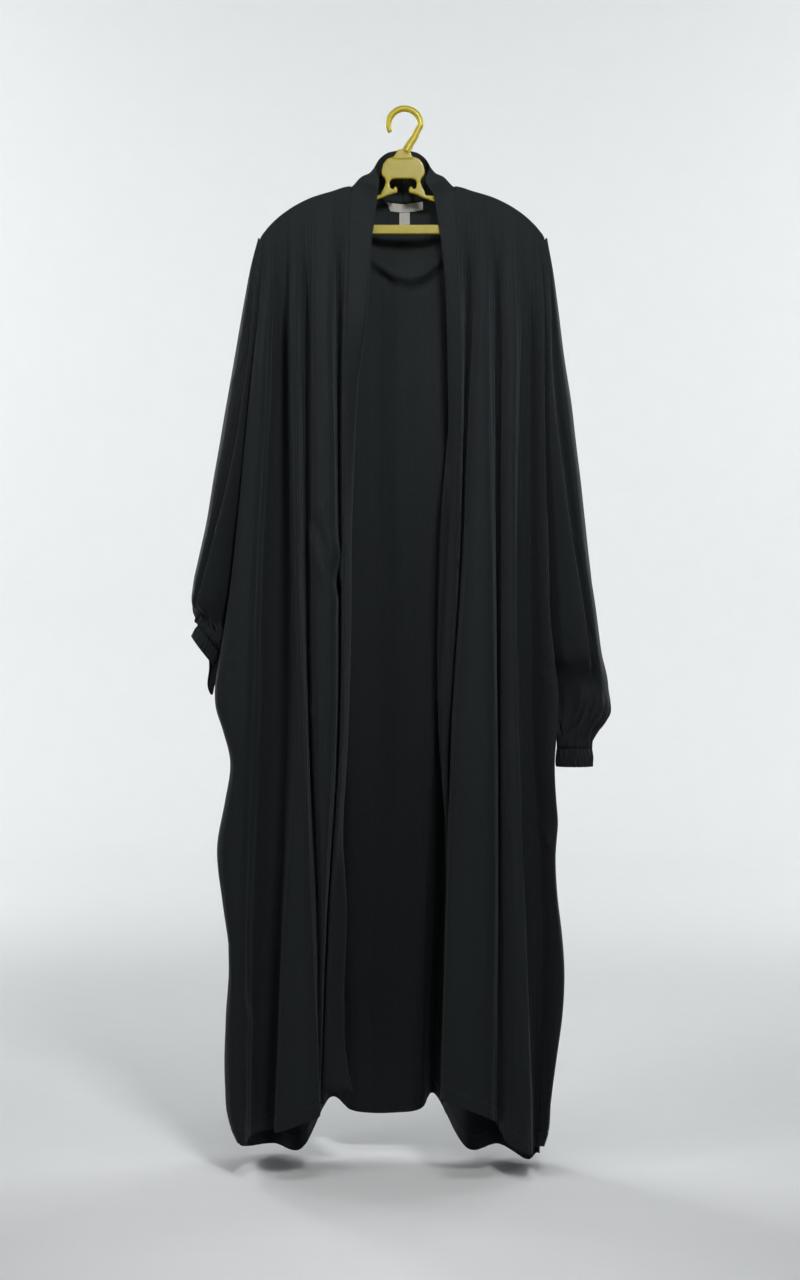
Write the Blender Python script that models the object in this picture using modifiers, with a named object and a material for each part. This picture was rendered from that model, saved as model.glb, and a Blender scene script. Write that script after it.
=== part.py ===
"""An open-front prayer dress in batwing cut, hanging on a plastic hanger.

Metres, +Z up. The front faces -Y. The origin is the inside top of the hanger's hook.
The tables are in millimetres: across is X, back is Y, and drop is the distance below the origin.
"""

import math

import bmesh
import bpy
import numpy as np

MM = 0.001

# Cloth
WALL = 0.0016
SEAM = 0.0004
LABEL_WALL = 0.0008
STEPS = 2

# Hanger
ARM_HALF_THICK = 0.0035
ARM_CHAMFER = 0.0020
ARM_CLEAR = 0.0008
ARM_NECK_FALL = 12
PLATE_THICK = 0.0080
HOOK_RADIUS = 0.0230
HOOK_THICK = 0.0046
BAR_DROP = (158.5, 171.5)
BAR_HALF_THICK = 0.0028

# The shoulder line, the same on both sides of the neck
SHOULDER_ACROSS = (70, 82, 96, 138, 163, 182, 195, 203, 206)
SHOULDER_DROP = (103, 104.5, 109, 123, 137, 152, 166, 178, 186)
SHOULDER_POINT = 75
TOP_EDGE_GAP = 0.42
FOLDS_OPEN_OVER = 220

# The neckline on the back, from the centre to the shoulder point
NECK_ACROSS = (0, 34, 58, 75)
NECK_DROP = (121.5, 117, 109, 104)
NECK_BACK = (38, 32, 18, 1)
NECK_GAP = 1.5
COLLAR_SEAM = 2

# Heights at which each fold's place is given
LEVELS = (130, 385, 640, 893, 1146, 1400)
DEPTH_LEVELS = (385, 893, 1400)
FRONT_BASE = (-32, -45, -62)
BACK_BASE = (34, 62, 95)

# Side of the body: drop, across
SIDE_LEFT = (
    (183, -203), (268, -204), (410, -217), (553, -230), (695, -240), (765, -246), (823, -249),
    (880, -246), (923, -243), (980, -250), (1050, -261), (1122, -254), (1193, -245), (1293, -249),
    (1378, -250), (1435, -244), (1464, -231),
)
SIDE_RIGHT = (
    (183, 200), (268, 200), (410, 200), (553, 203), (667, 206), (724, 208), (780, 213), (823, 218),
    (880, 217), (923, 214), (980, 216), (1008, 218), (1051, 215), (1122, 218), (1165, 223),
    (1222, 227), (1293, 223), (1336, 217), (1407, 208), (1449, 204), (1471, 197),
)
SIDE_SEAM_BACK = ((183, 2), (385, 12), (640, 18), (893, 22), (1146, 22), (1400, 18))
CORNER_ROUND = 7
BACK_WIDER = 2.6
BACK_WIDER_FADE = (265, 60)

# Armhole slit in the side: from the shoulder tip to the underarm, and half its width
ARMHOLE = (188, 600)
ARMHOLE_HALF = 14
SIDE_GAP = 0.55

# Front folds, from the band seam to the side:
# name, across at LEVELS, depth from the base at DEPTH_LEVELS, drop of the hem
FRONT_LEFT = (
    ("band seam", (-74, -81, -81, -84, -100, -111), (4, 9, 33), 1408),
    ("band ridge", (-79, -85, -85, -88, -103, -114), (2, 5, 34), 1410),
    ("inner valley", (-92, -92, -90, -91, -107, -119), (22, 24, 32), 1411),
    ("inner ridge, near", (-104, -102, -98, -98, -109, -117), (-2, -2, 24), 1413),
    ("inner ridge, far", (-127, -127, -127, -124, -115, -117), (-2, -4, 16), 1415),
    ("sharp valley", (-141, -139, -137, -131, -122, -121), (18, 20, 6), 1417),
    ("middle ridge, near", (-149, -149, -145, -137, -129, -118), (-4, -6, -6), 1420),
    ("middle ridge, far", (-160, -159, -154, -152, -165, -175), (-6, -8, -12), 1440),
    ("broad valley, near", (-166, -163, -161, -164, -172, -179), (22, 28, 26), 1446),
    ("broad valley, far", (-177, -184, -194, -198, -207, -212), (20, 26, 26), 1454),
    ("outer ridge", (-187, -199, -212, -222, -227, -224), (-2, 2, 8), 1462),
)
FRONT_RIGHT = (
    ("band seam", (75, 79, 74, 61, 62, 55), (5, 39, 36), 1402),
    ("band ridge", (80, 83.5, 78, 65, 65, 58), (3, 35, 33), 1403),
    ("inner valley", (95, 89, 83, 70, 69, 62), (26, 30, 26), 1404),
    ("broad ridge, near", (111, 99, 89, 72, 62, 54), (-2, -4, -6), 1395),
    ("broad ridge, far", (121, 122, 126, 129, 128, 121), (-4, -6, -6), 1422),
    ("sharp valley", (133, 133, 134, 136, 136, 134), (22, 24, 14), 1436),
    ("middle ridge, near", (147, 144, 142, 142, 144, 147), (-2, -2, 2), 1457),
    ("middle ridge, far", (159, 159, 158, 162, 170, 178), (-6, -8, -12), 1471),
    ("broad valley, near", (171, 167, 162, 164, 174, 184), (14, 20, 20), 1472),
    ("broad valley, far", (184, 184, 185, 188, 200, 192), (22, 26, 22), 1471),
)
CORNER_DEPTH = {"left": (6, 12, 22), "right": (6, 10, 18)}
CORNER_HEM = {"left": (1460, 1472), "right": (1466, 1480)}

# Back folds, from the left side to the right
BACK = (
    ("left corner", (-194, -203, -219, -233, -238, -222), (2, -10, -30), 1490),
    ("left outer ridge", (-165, -172, -186, -192, -194, -190), (16, 20, 14), 1496),
    ("left valley", (-135, -142, -152, -154, -152, -146), (-6, -12, -20), 1492),
    ("left inner ridge", (-105, -110, -115, -114, -112, -108), (14, 20, 40), 1434),
    ("left of the middle", (-75, -78, -82, -80, -79, -77), (-4, -4, 12), 1446),
    ("middle, left", (-40, -40, -40, -40, -42, -45), (2, 4, 8), 1450),
    ("middle", (-2, -2, -2, -2, -4, -8), (-2, -2, 6), 1449),
    ("middle, right", (30, 30, 29, 26, 22, 18), (2, 2, 4), 1446),
    ("right of the middle", (62, 62, 55, 47, 38, 31), (-2, 0, 6), 1440),
    ("right inner ridge", (90, 90, 85, 76, 62, 48), (14, 24, 50), 1430),
    ("right valley", (120, 120, 120, 116, 104, 92), (-6, -12, -28), 1488),
    ("right outer ridge", (150, 152, 155, 157, 154, 142), (16, 18, -8), 1492),
    ("right outer valley", (174, 176, 179, 183, 188, 180), (-2, -12, -34), 1503),
    ("right corner", (192, 194, 196, 206, 211, 194), (4, -14, -44), 1497),
)
BACK_SIDE_HEM = {"left": 1480, "right": 1490}

# Cowl fold across the back, under the neck
COWL_MIDDLE = 11
COWL_DROP = 228
COWL_RISE = {"left": 22, "right": 34}
COWL_REACH = 54
COWL_FADE = (70, 120)
COWL_FORWARD = 20
COWL_ABOVE = 62
COWL_BELOW = 14

# Front band: drop, then across and back from its seam to its roll, then from the roll to its edge
BAND_LEFT = (
    (118, 25, 0, 13, -1), (150, 27, 1, 8, 1), (176, 28, 2, 4, 2.5), (205, 29, 6, 0, 9),
    (240, 29, 10, -8, 20), (290, 28, 13, -15, 26), (385, 18, 22, -16, 26),
    (480, 13, 25, -10, 28), (540, 10, 26, -4, 30), (610, 8, 28, -5, 31), (700, 8, 28, -8, 30),
    (893, 6, 29, -8, 30), (1040, 8, 27, -6, 30), (1120, 18, 22, -8, 28), (1270, 22, 20, -10, 28),
    (1350, 28, 14, -8, 26), (1392, 38, 6, -10, 22),
)
BAND_RIGHT = (
    (118, -22, 0, -8, -1), (150, -20, 1, -5, 1), (176, -19, 2, -2.5, 3), (205, -18, 6, 2, 10),
    (240, -16, 10, 7, 20), (290, -15, 14, 8, 26), (385, -14, 18, 6, 28),
    (480, -11, 23, -4, 12), (560, -10, 28, -10, -8), (640, -11, 30, -10, -10), (760, -9, 30, -8, -4),
    (893, -4, 28, -4, 12), (1040, 1, 28, 2, 24), (1200, 3, 28, 6, 28), (1400, 8, 24, 14, 24),
)
BAND_HEM = {"left": (1394, 1391), "right": (1410, 1420)}

# The band round the neck: across of its seam, then across, back and drop of its roll and its edge
COLLAR = (
    ("shoulder", 73, (57, -8, 93), (33, -10, 99)),
    ("side", 62, (50, 12, 86), (38, 11, 73)),
    ("back of the side", 34, (31, 32, 82), (25, 29, 51)),
    ("centre back", 0, (0, 39, 82), (0, 36, 43)),
)

# Sleeves: drop, drop at the swag in front, drop at the sag behind, overarm fold across,
# swag crest across, crest back, far wall back, depth of the wedge beside the crest,
# how much lower the underarm is than the overarm
SLEEVE_LEFT = (
    (185, 185, 185, 206, 205, -3.2, 7.5, 0, 0), (206, 206, 206, 213.5, 205.5, -9, 13, 2, 0),
    (225, 225, 225, 218, 206, -12.5, 18, 4, 0), (265, 265, 265, 226, 211.5, -15, 27, 7, 0),
    (350, 350, 350, 241, 219, -18, 36, 12, 0), (407, 407, 407, 251, 227, -24, 41, 14, 0),
    (465, 465, 465, 261, 235, -28, 45, 16, 0), (522, 522, 522, 271, 246, -32, 48, 17, 0),
    (580, 580, 590, 280, 259, -36, 51, 17, 0), (637, 637, 672, 292, 273, -40, 54, 12, 0),
    (672, 676, 728, 299, 281, -42, 54, 7, 0), (696, 698, 772, 300, 282, -36, 54, 3, 5),
    (710, 708, 804, 297, 278, -24, 54, 1, 16), (722, 717, 832, 292, 273, -14, 50, 0, 30),
)
SLEEVE_RIGHT = (
    (185, 185, 185, 206.5, 204, -3.2, 7.5, 0, 0), (206, 206, 206, 211.5, 202.5, -9, 13, 1, 0),
    (225, 225, 225, 215, 204.5, -13.5, 19, 3, 0), (265, 265, 265, 221, 208.5, -15, 27, 6, 0),
    (350, 350, 350, 232, 211, -20, 36, 12, 0), (407, 407, 407, 241, 214, -26, 41, 15, 0),
    (465, 465, 465, 248, 220, -30, 45, 17, 0), (522, 522, 522, 255, 227, -34, 48, 17, 0),
    (580, 580, 580, 261, 234, -38, 51, 17, 0), (637, 637, 637, 267, 242, -42, 52, 16, 0),
    (695, 695, 695, 275, 251, -46, 54, 14, 0), (745, 748, 748, 281, 258, -48, 54, 12, 0),
    (778, 779, 784, 285, 261, -44, 53, 8, 0), (798, 793, 812, 289, 261, -26, 51, 4, 0),
    (820, 808, 838, 294, 259, -13, 49, 2, 0), (850, 838, 862, 298, 258, -11, 44, 1, 0),
)
SLEEVE_CLEAR = (2.8, 5.0)
SLEEVE_PROUD = 2
TOP_LAP = 4.0
TOP_LAP_FADE = (196, 22)
TOP_LAP_PROUD = 1.2
TOP_PROUD_FADE = (200, 40)
SLEEVE_OPENS_BY = 74
UNDERARM_GAP = 0.9
TIP_LIFT = 8
TIP_ROUND = 7
# How far round the sleeve each line lies, from the underarm over the front,
# and its share of the swag and of the sag
SLEEVE_LINES = (
    ("front edge", 0.00, 0.0, 0.0), ("valley", 0.10, 0.8, 0.0), ("crest", 0.20, 1.0, 0.0),
    ("wedge", 0.28, 0.9, 0.0), ("outer front", 0.38, 0.2, 0.0), ("overarm fold", 0.50, 0.0, 0.0),
    ("outer back", 0.62, 0.0, 0.3), ("far wall", 0.76, 0.0, 1.0), ("inner back", 0.89, 0.0, 0.6),
    ("back edge", 1.00, 0.0, 0.0),
)
SLEEVE_COLUMNS = 33
SLEEVE_GATHERS = 16
GATHER_DEPTH = {"left": 0.0009, "right": 0.0015}
CUFF_LEAD = 0.006

# Cuffs: middle of the ring next to the sleeve, direction across it outwards, direction along it
CUFFS = {
    "left": ((-0.2755, 0.008, -0.7480), (-0.61, 0, 0.79), (-0.50, 0, -0.866), 0.022),
    "right": ((0.2466, 0.010, -0.9070), (1, 0, 0), (0, 0, -1), 0.026),
}
SLEEVE_BAGS = {"left": 1, "right": 0}
CUFF_LAP = {"left": 0.0034, "right": 0}
BAG_LEAD = (0, 0.008, -0.003)
CUFF_HALF_ACROSS = 0.0245
CUFF_HALF_BACK = 0.0200
CUFF_RUFFLES = 20
RUFFLE_DEPTH = 0.0016

# Label sewn under the back neckline, and the tab below it
LABEL = (-22.5, 29.5, 0.8, 12.8)
LABEL_SLANT = 5
TAB = (-4.5, 10.5, 13.4, 36)
LABEL_OFF = 0.0018


def through(knots, values):
    """A smooth curve through values at rising knots, level beyond both ends."""
    knots = np.asarray(knots, float)
    values = np.asarray(values, float)
    slopes = np.gradient(values, knots, axis=0)

    def at(place):
        place = np.clip(np.asarray(place, float), knots[0], knots[-1])
        left = np.clip(np.searchsorted(knots, place, side="right") - 1, 0, len(knots) - 2)
        span = knots[left + 1] - knots[left]
        s = (place - knots[left]) / span
        shape = s.shape + (1,) * (values.ndim - 1)
        s, span = s.reshape(shape), span.reshape(shape)
        return (
            (2 * s**3 - 3 * s**2 + 1) * values[left]
            + (s**3 - 2 * s**2 + s) * span * slopes[left]
            + (3 * s**2 - 2 * s**3) * values[left + 1]
            + (s**3 - s**2) * span * slopes[left + 1]
        )

    return at


def column(rows, index):
    """One named column of a table, as a curve over the rows' drops."""
    return through([row[0] for row in rows], [row[index] for row in rows])


def ease(share):
    share = np.clip(share, 0, 1)
    return share * share * (3 - 2 * share)


def sign_of(side):
    return -1 if side == "left" else 1


side_line = {"left": column(SIDE_LEFT, 1), "right": column(SIDE_RIGHT, 1)}
side_seam_back = column(SIDE_SEAM_BACK, 1)
shoulder_drop = through(SHOULDER_ACROSS, SHOULDER_DROP)
neck_drop = through(NECK_ACROSS, NECK_DROP)
neck_back = through(NECK_ACROSS, NECK_BACK)


def armhole_half(drop):
    """Half the width of the armhole slit at a drop."""
    share = np.clip((drop - ARMHOLE[0]) / (ARMHOLE[1] - ARMHOLE[0]), 0, 1)
    return ARMHOLE_HALF * np.sqrt(np.sin(math.pi * share))


def back_wider(drop):
    """How much further out the back's edge and its sleeve edge stand at the armhole's top."""
    return BACK_WIDER * (1 - ease((drop - BACK_WIDER_FADE[0]) / BACK_WIDER_FADE[1]))


def top_drop(across, is_back):
    """Drop of a panel's top edge: the shoulder line, and the neckline on the back."""
    far = np.abs(across)
    shoulder = shoulder_drop(far)
    return np.where(far < SHOULDER_POINT, neck_drop(far), shoulder) if is_back else shoulder


def cowl_forward(across, drop):
    """How far the back sags forward above its cowl fold, in millimetres."""
    rise = np.where(across < COWL_MIDDLE, COWL_RISE["left"], COWL_RISE["right"])
    fold = COWL_DROP - rise * ((across - COWL_MIDDLE) / COWL_REACH) ** 2
    above = fold - drop
    swell = np.where(
        above > 0, ease(1 - above / COWL_ABOVE), ease(1 + above / COWL_BELOW)
    )
    near = 1 - ease((np.abs(across) - COWL_FADE[0]) / (COWL_FADE[1] - COWL_FADE[0]))
    return COWL_FORWARD * swell * near


class Panel:
    """A front or back panel: a smooth surface over its fold lines and over height."""

    def __init__(self, folds, is_back):
        self.is_back = is_back
        self.turn = 1 if is_back else -1
        self.lines = folds
        self.base = through(DEPTH_LEVELS, BACK_BASE if is_back else FRONT_BASE)
        sample = np.array([[f[0](d) for f in folds] for d in LEVELS])
        steps = np.hypot(np.diff(sample, axis=1), 14).mean(axis=0)
        self.knots = np.concatenate([[0], np.cumsum(np.sqrt(steps))])
        self.mix = through(self.knots, np.eye(len(folds)))

    def across_back(self, u, drop, top):
        """Across and back of the surface at fold places u, at a drop, below a top edge."""
        mix = self.mix(u)
        across = sum(mix[..., k] * line[0](drop) for k, line in enumerate(self.lines))
        fall = self.base(drop) + sum(
            mix[..., k] * line[1](drop, self.base(drop)) for k, line in enumerate(self.lines)
        )
        below = drop - top
        radius = (ARM_HALF_THICK + ARM_CLEAR + WALL / 2) / MM
        turned = np.sqrt(np.clip(radius**2 - (radius - np.clip(below, 0, radius)) ** 2, 0, None))
        start = TOP_EDGE_GAP
        if self.is_back:
            at_neck = np.abs(across) < SHOULDER_POINT
            start = np.where(at_neck, neck_back(np.abs(across)), start)
            turned = np.where(at_neck, 0, turned)
            fall = fall - cowl_forward(across, drop) * ease(below / 40)
        edge = self.turn * (start + turned)
        if self.is_back:
            edge = start + turned
        return across, edge + (fall - edge) * ease(below / FOLDS_OPEN_OVER)

    def top(self, u):
        """Drop of the top edge at fold places u."""
        mix = self.mix(u)
        across = sum(mix[..., k] * line[0](LEVELS[0]) for k, line in enumerate(self.lines))
        for _ in range(4):
            drop = top_drop(across, self.is_back)
            across = sum(mix[..., k] * line[0](drop) for k, line in enumerate(self.lines))
        return top_drop(across, self.is_back)

    def hem(self, u):
        mix = self.mix(u)
        return sum(mix[..., k] * line[2] for k, line in enumerate(self.lines))

    def grid(self, steps, near_top, rows):
        """Rows of points from the top edge to the hem."""
        spans = [np.linspace(a, b, steps, endpoint=False) for a, b in zip(self.knots, self.knots[1:])]
        u = np.concatenate([*spans, self.knots[-1:]])
        top, hem = self.top(u), self.hem(u)
        start = near_top[-1]
        drops = [top + below for below in near_top]
        drops += [top + start + (hem - top - start) * k / rows for k in range(1, rows + 1)]
        points = []
        for drop in drops:
            across, back = self.across_back(u, drop, top)
            points.append(np.stack([across, back, -drop], axis=-1) * MM)
        return np.array(points)


def fold_line(across, depth, hem):
    """A fold line as functions of drop: its place across, and its depth from the base."""
    return (through(LEVELS, across), lambda drop, base, d=through(DEPTH_LEVELS, depth): d(drop), hem)


def side_lines(side, is_back):
    """The fold lines where a panel turns round the side to its side seam."""
    inward = -sign_of(side)
    turn = 1 if is_back else -1

    def corner_across(drop):
        return side_line[side](drop) + inward * CORNER_ROUND * (1 - ease((drop - 190) / 80))

    def edge_depth(drop, base):
        return side_seam_back(drop) + turn * (armhole_half(drop) + SIDE_GAP) - base

    def back_across(drop):
        return side_line[side](drop) - inward * back_wider(drop)

    if is_back:
        return [(back_across, edge_depth, BACK_SIDE_HEM[side])]
    corner = through(DEPTH_LEVELS, CORNER_DEPTH[side])
    hems = CORNER_HEM[side]
    return [
        (corner_across, lambda drop, base: corner(drop), hems[0]),
        (side_line[side], edge_depth, hems[1]),
    ]


def front_panel(side):
    table = FRONT_LEFT if side == "left" else FRONT_RIGHT
    return Panel([fold_line(*row[1:]) for row in table] + side_lines(side, False), False)


def back_panel():
    middle = [fold_line(*row[1:]) for row in BACK]
    return Panel(side_lines("left", True) + middle + side_lines("right", True), True)


def mesh_object(name, grid, thickness, material, collection):
    """A grid of points as an open surface, made a wall by Solidify."""
    mesh = bpy.data.meshes.new(name)
    builder = bmesh.new()
    corners = [[builder.verts.new(point) for point in row] for row in grid]
    for upper, lower in zip(corners, corners[1:]):
        for k in range(len(upper) - 1):
            builder.faces.new((upper[k], upper[k + 1], lower[k + 1], lower[k]))
    bmesh.ops.recalc_face_normals(builder, faces=builder.faces)
    builder.to_mesh(mesh)
    builder.free()
    mesh.shade_smooth()
    obj = bpy.data.objects.new(name, mesh)
    collection.objects.link(obj)
    mesh.materials.append(material)
    wall = obj.modifiers.new("Wall", "SOLIDIFY")
    wall.thickness = thickness
    wall.offset = 0
    wall.use_even_offset = True
    return obj


def roll_points(seam, roll, edge, steps):
    """Points across the band: from its seam over its roll to its edge."""
    seam, roll, edge = (np.asarray(p, float) for p in (seam, roll, edge))
    line = through((0, 1, 2), np.array([seam, roll, edge]))
    return line(np.linspace(0, 2, steps))


def seam_place(end, arriving, leaving):
    """Where a sheet starts beside the end of another, so that their walls stay a seam's gap apart."""
    arriving = arriving / np.linalg.norm(arriving)
    leaving = leaving / np.linalg.norm(leaving)
    turn = math.acos(np.clip(arriving @ leaving, -0.6, 1))
    return end + arriving * (1.8 * SEAM + WALL / 2 * math.tan(turn / 2)) / MM


def band_grid(side, panel, neckline, rows, collar_rows, steps):
    """The band from the hem up the front edge, and round the neck to the centre back."""
    table = BAND_LEFT if side == "left" else BAND_RIGHT
    columns = [column(table, k) for k in range(1, 5)]
    start = np.array(0.0)
    top = float(panel.top(start))
    beside = np.array(panel.knots[1] / STEPS)
    seam_hem, edge_hem = BAND_HEM[side]
    lower = np.linspace(seam_hem, BAND_NEAR_TOP[-1], rows)
    stations = []
    for drop in [*lower, *reversed(BAND_NEAR_TOP[:-1])]:
        roll_across, roll_back, edge_across, edge_back = (float(c(drop)) for c in columns)
        end = np.array(panel.across_back(start, np.array(drop), top))
        near = np.array(panel.across_back(beside, np.array(drop), float(panel.top(beside))))
        seam = (*seam_place(end, end - near, np.array((roll_across, roll_back))), drop)
        roll = (seam[0] + roll_across, seam[1] + roll_back, drop)
        tail = (edge_hem - seam_hem) * ease((drop - 1300) / (seam_hem - 1300))
        edge = (roll[0] + edge_across, roll[1] + edge_back, drop + float(tail))
        stations.append((seam, roll, edge))
    collar = []
    for _, seam_across, *ends in COLLAR:
        seam = (seam_across, float(neck_back(seam_across)), float(neck_drop(seam_across)) - NECK_GAP)
        collar.append(tuple((sign_of(side) * p[0], p[1], p[2]) for p in (seam, *ends)))
    across, back, height = neckline.T / MM
    joined = np.array([stations[-2], stations[-1], *collar])
    distance = np.linalg.norm(np.diff(joined.mean(axis=1), axis=0), axis=1)
    knots = np.concatenate([[0], np.cumsum(distance)])
    bend = through(knots, joined)
    neck = [bend(k) for k in np.linspace(knots[1], knots[-1], collar_rows + 1)[1:]]
    for station in neck:
        if abs(station[0, 0]) < SHOULDER_POINT - 1:
            station[0, 1] = np.interp(station[0, 0], across, back)
            station[0, 2] = -np.interp(station[0, 0], across, height) - NECK_GAP
    grid = [roll_points(*station, steps) for station in [*stations, *neck]]
    grid = np.array(grid)
    grid[-1, :, 0] = sign_of(side) * SEAM / MM / 2
    grid[:, :, 2] *= -1
    return grid * MM, len(stations)


def collar_grid(grid, first):
    """The rows of a band from its shoulder seam round the neck."""
    collar = grid[first - 1 :].copy()
    way = collar[1] - collar[0]
    collar[0] += way / np.linalg.norm(way, axis=1, keepdims=True) * COLLAR_SEAM * SEAM
    return collar


def cuff_ring(side, share, swell):
    """Points round the cuff's ring. Share 0 is the underarm, and a quarter is the front."""
    middle, outward, _, _ = CUFFS[side]
    angle = 2 * math.pi * share
    outward = np.array(outward) / np.linalg.norm(outward)
    across = -np.cos(angle) * (CUFF_HALF_ACROSS + swell)
    back = -np.sin(angle) * (CUFF_HALF_BACK + swell)
    return (
        np.array(middle)
        + across[..., None] * outward
        + back[..., None] * np.array((0.0, 1.0, 0.0))
    )


def sleeve_section(side, row, front, back):
    """The lines round a sleeve at one row of its table, in millimetres."""
    drop, swag_drop, sag_drop, overarm, crest, crest_back, far_back, wedge, tilt = row
    s = sign_of(side)
    body = abs(float(side_line[side](drop)))
    front_edge = edge_at(front, front.knots[-1], drop)
    back_edge = edge_at(back, back.knots[0 if side == "left" else -1], drop)
    free = ease((drop - ARMHOLE[1]) / 90)
    lap = 1 - ease((drop - TOP_LAP_FADE[0]) / TOP_LAP_FADE[1])
    inner = body + SLEEVE_CLEAR[0] + (SLEEVE_CLEAR[1] - SLEEVE_CLEAR[0]) * free - TOP_LAP * lap
    joined = ease((drop - ARMHOLE[1] + 70) / 70)
    middle = float(side_seam_back(drop))
    off = SLEEVE_PROUD + TOP_LAP_PROUD * (1 - ease((drop - TOP_PROUD_FADE[0]) / TOP_PROUD_FADE[1]))
    front_y = front_edge[1] - off + (middle - UNDERARM_GAP - front_edge[1] + off) * joined
    back_y = back_edge[1] + off + (middle + UNDERARM_GAP - back_edge[1] - off) * joined
    lines = (
        (inner, front_y),
        (inner + (crest - inner) * 0.2, (front_y + crest_back) / 2),
        (crest, crest_back),
        (crest + (overarm - crest) * (0.36 - 0.24 * min(wedge / 12, 1)), crest_back + wedge),
        (crest + (overarm - crest) * 0.66, crest_back + wedge * 0.76),
        (overarm, crest_back * 0.42 + far_back * 0.58),
        (overarm - (overarm - body) * 0.16, far_back * 0.78),
        (body + (overarm - body) * 0.48, far_back),
        (inner + 4, back_y + (far_back - back_y) * 0.62),
        (inner + back_wider(drop), back_y),
    )
    opening = float(ease((table_top(side) + SLEEVE_OPENS_BY - drop) / SLEEVE_OPENS_BY))
    points = []
    for (_, share, swag, sag), (across, back_place) in zip(SLEEVE_LINES, lines):
        start = inner + back_wider(drop) * share
        arc_across = start + (overarm - start) * math.sin(math.pi * share)
        arc_back = front_y + (back_y - front_y) * (1 - math.cos(math.pi * share)) / 2
        across += (arc_across - across) * opening
        back_place += (arc_back - back_place) * opening
        low = drop + (swag_drop - drop) * swag + (sag_drop - drop) * sag
        low += tilt / 2 * math.cos(2 * math.pi * share)
        points.append((s * across, back_place, -low))
    return np.array(points)


def table_top(side):
    """Drop of a sleeve's first row."""
    return (SLEEVE_LEFT if side == "left" else SLEEVE_RIGHT)[0][0]


def edge_at(panel, u, drop):
    """Across and back of a panel's side edge at a drop."""
    u = np.array(u)
    top = float(panel.top(u))
    across, back = panel.across_back(u, np.array(max(float(drop), top + TIP_ROUND)), top)
    return float(across), float(back)


def sleeve_grid(side, front, back, between, gather_rows):
    """Rows of points from the shoulder tip down to the cuff."""
    table = SLEEVE_LEFT if side == "left" else SLEEVE_RIGHT
    sections = np.array([sleeve_section(side, row, front, back) for row in table])
    round_it = np.array([line[1] for line in SLEEVE_LINES])
    sections[0, :, 2] += TIP_LIFT * np.sin(math.pi * round_it)
    share = np.linspace(0, 1, SLEEVE_COLUMNS)
    mix = through(round_it, np.eye(len(round_it)))(share)
    rings = np.einsum("jk,rkc->rjc", mix, sections) * MM
    sag = np.clip(mix @ np.array([line[3] for line in SLEEVE_LINES]), 0, 1)
    bag = SLEEVE_BAGS[side] * sag
    cuff = cuff_ring(side, share, CUFF_LAP[side])
    along = np.array(CUFFS[side][2])
    step = np.linalg.norm(np.diff(rings, axis=0), axis=2).mean(axis=1)
    knots = np.concatenate([[0], np.cumsum(step)])
    to_cuff = np.linalg.norm(cuff - rings[-1], axis=1).mean()
    lead = cuff - along * CUFF_LEAD * (1 - bag)[:, None] + bag[:, None] * BAG_LEAD
    led = to_cuff - CUFF_LEAD
    run = through([*knots, knots[-1] + led, knots[-1] + to_cuff], [*rings, lead, cuff])
    places = []
    for a, b in zip(knots, knots[1:]):
        places += list(np.linspace(a, b, between, endpoint=False))
    places += [*(knots[-1] + np.linspace(0, led, gather_rows)), knots[-1] + to_cuff]
    grid = np.array([run(place) for place in places])
    centre = grid[:, :-1].mean(axis=1, keepdims=True)
    outward = grid - centre
    outward /= np.linalg.norm(outward, axis=2, keepdims=True)
    wave = np.cos(2 * math.pi * SLEEVE_GATHERS * share)
    gathered = np.array([ease((place - knots[-2]) / led) for place in places])
    gathered *= np.array([1 - 0.8 * ease((p - knots[-1] - led / 2) / led * 2) for p in places])
    wave = wave * GATHER_DEPTH[side] * (1 - sag)
    grid += outward * wave[None, :, None] * gathered[:, None, None]
    hold_underarm(grid)
    return grid


def hold_underarm(grid):
    """Holds the two edges of the underarm seam a seam's gap apart."""
    low = grid[:, 0, 2] < -ARMHOLE[1] * MM
    middle = (grid[low, 0] + grid[low, -1]) / 2
    apart = np.array((0.0, UNDERARM_GAP * MM, 0.0))
    grid[low, 0] = middle - apart
    grid[low, -1] = middle + apart


def cuff_grid(side, rows, columns):
    """A ruffled ring, closed on itself."""
    _, _, along, length = CUFFS[side]
    share = np.linspace(0, 1, columns + 1)
    wave = np.cos(2 * math.pi * CUFF_RUFFLES * share)
    grid = []
    for k in range(rows + 1):
        part = k / rows
        swell = RUFFLE_DEPTH * wave * (0.5 + 0.5 * part) + 0.0012 * math.sin(math.pi * part)
        grid.append(cuff_ring(side, share, swell) + np.array(along) * (SEAM + length * part))
    return np.array(grid)


def close_ring(obj):
    """Joins the first and last columns of a ring."""
    builder = bmesh.new()
    builder.from_mesh(obj.data)
    bmesh.ops.remove_doubles(builder, verts=builder.verts, dist=1e-6)
    bmesh.ops.recalc_face_normals(builder, faces=builder.faces)
    builder.to_mesh(obj.data)
    builder.free()


def label_grid(panel, box, slant, columns, rows):
    """Points of the back panel's inside face, moved out from it: left, right, top and bottom."""
    left, right, upper, lower = box
    grid = []
    for below in np.linspace(upper, lower, rows + 1):
        share = (below - upper) / (lower - upper)
        line = []
        for across in np.linspace(left + slant * share, right, columns + 1):
            top = float(neck_drop(abs(across)))
            place = place_across(panel, across, top + below)
            line.append((across * MM, place * MM - LABEL_OFF, -(top + below) * MM))
        grid.append(line)
    return np.array(grid)


def place_across(panel, across, drop):
    """Back of a panel where it is at a place across."""
    u = np.linspace(panel.knots[0], panel.knots[-1], 600)
    found, back = panel.across_back(u, np.full(u.shape, float(drop)), panel.top(u))
    return float(np.interp(across, found, back))


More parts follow.
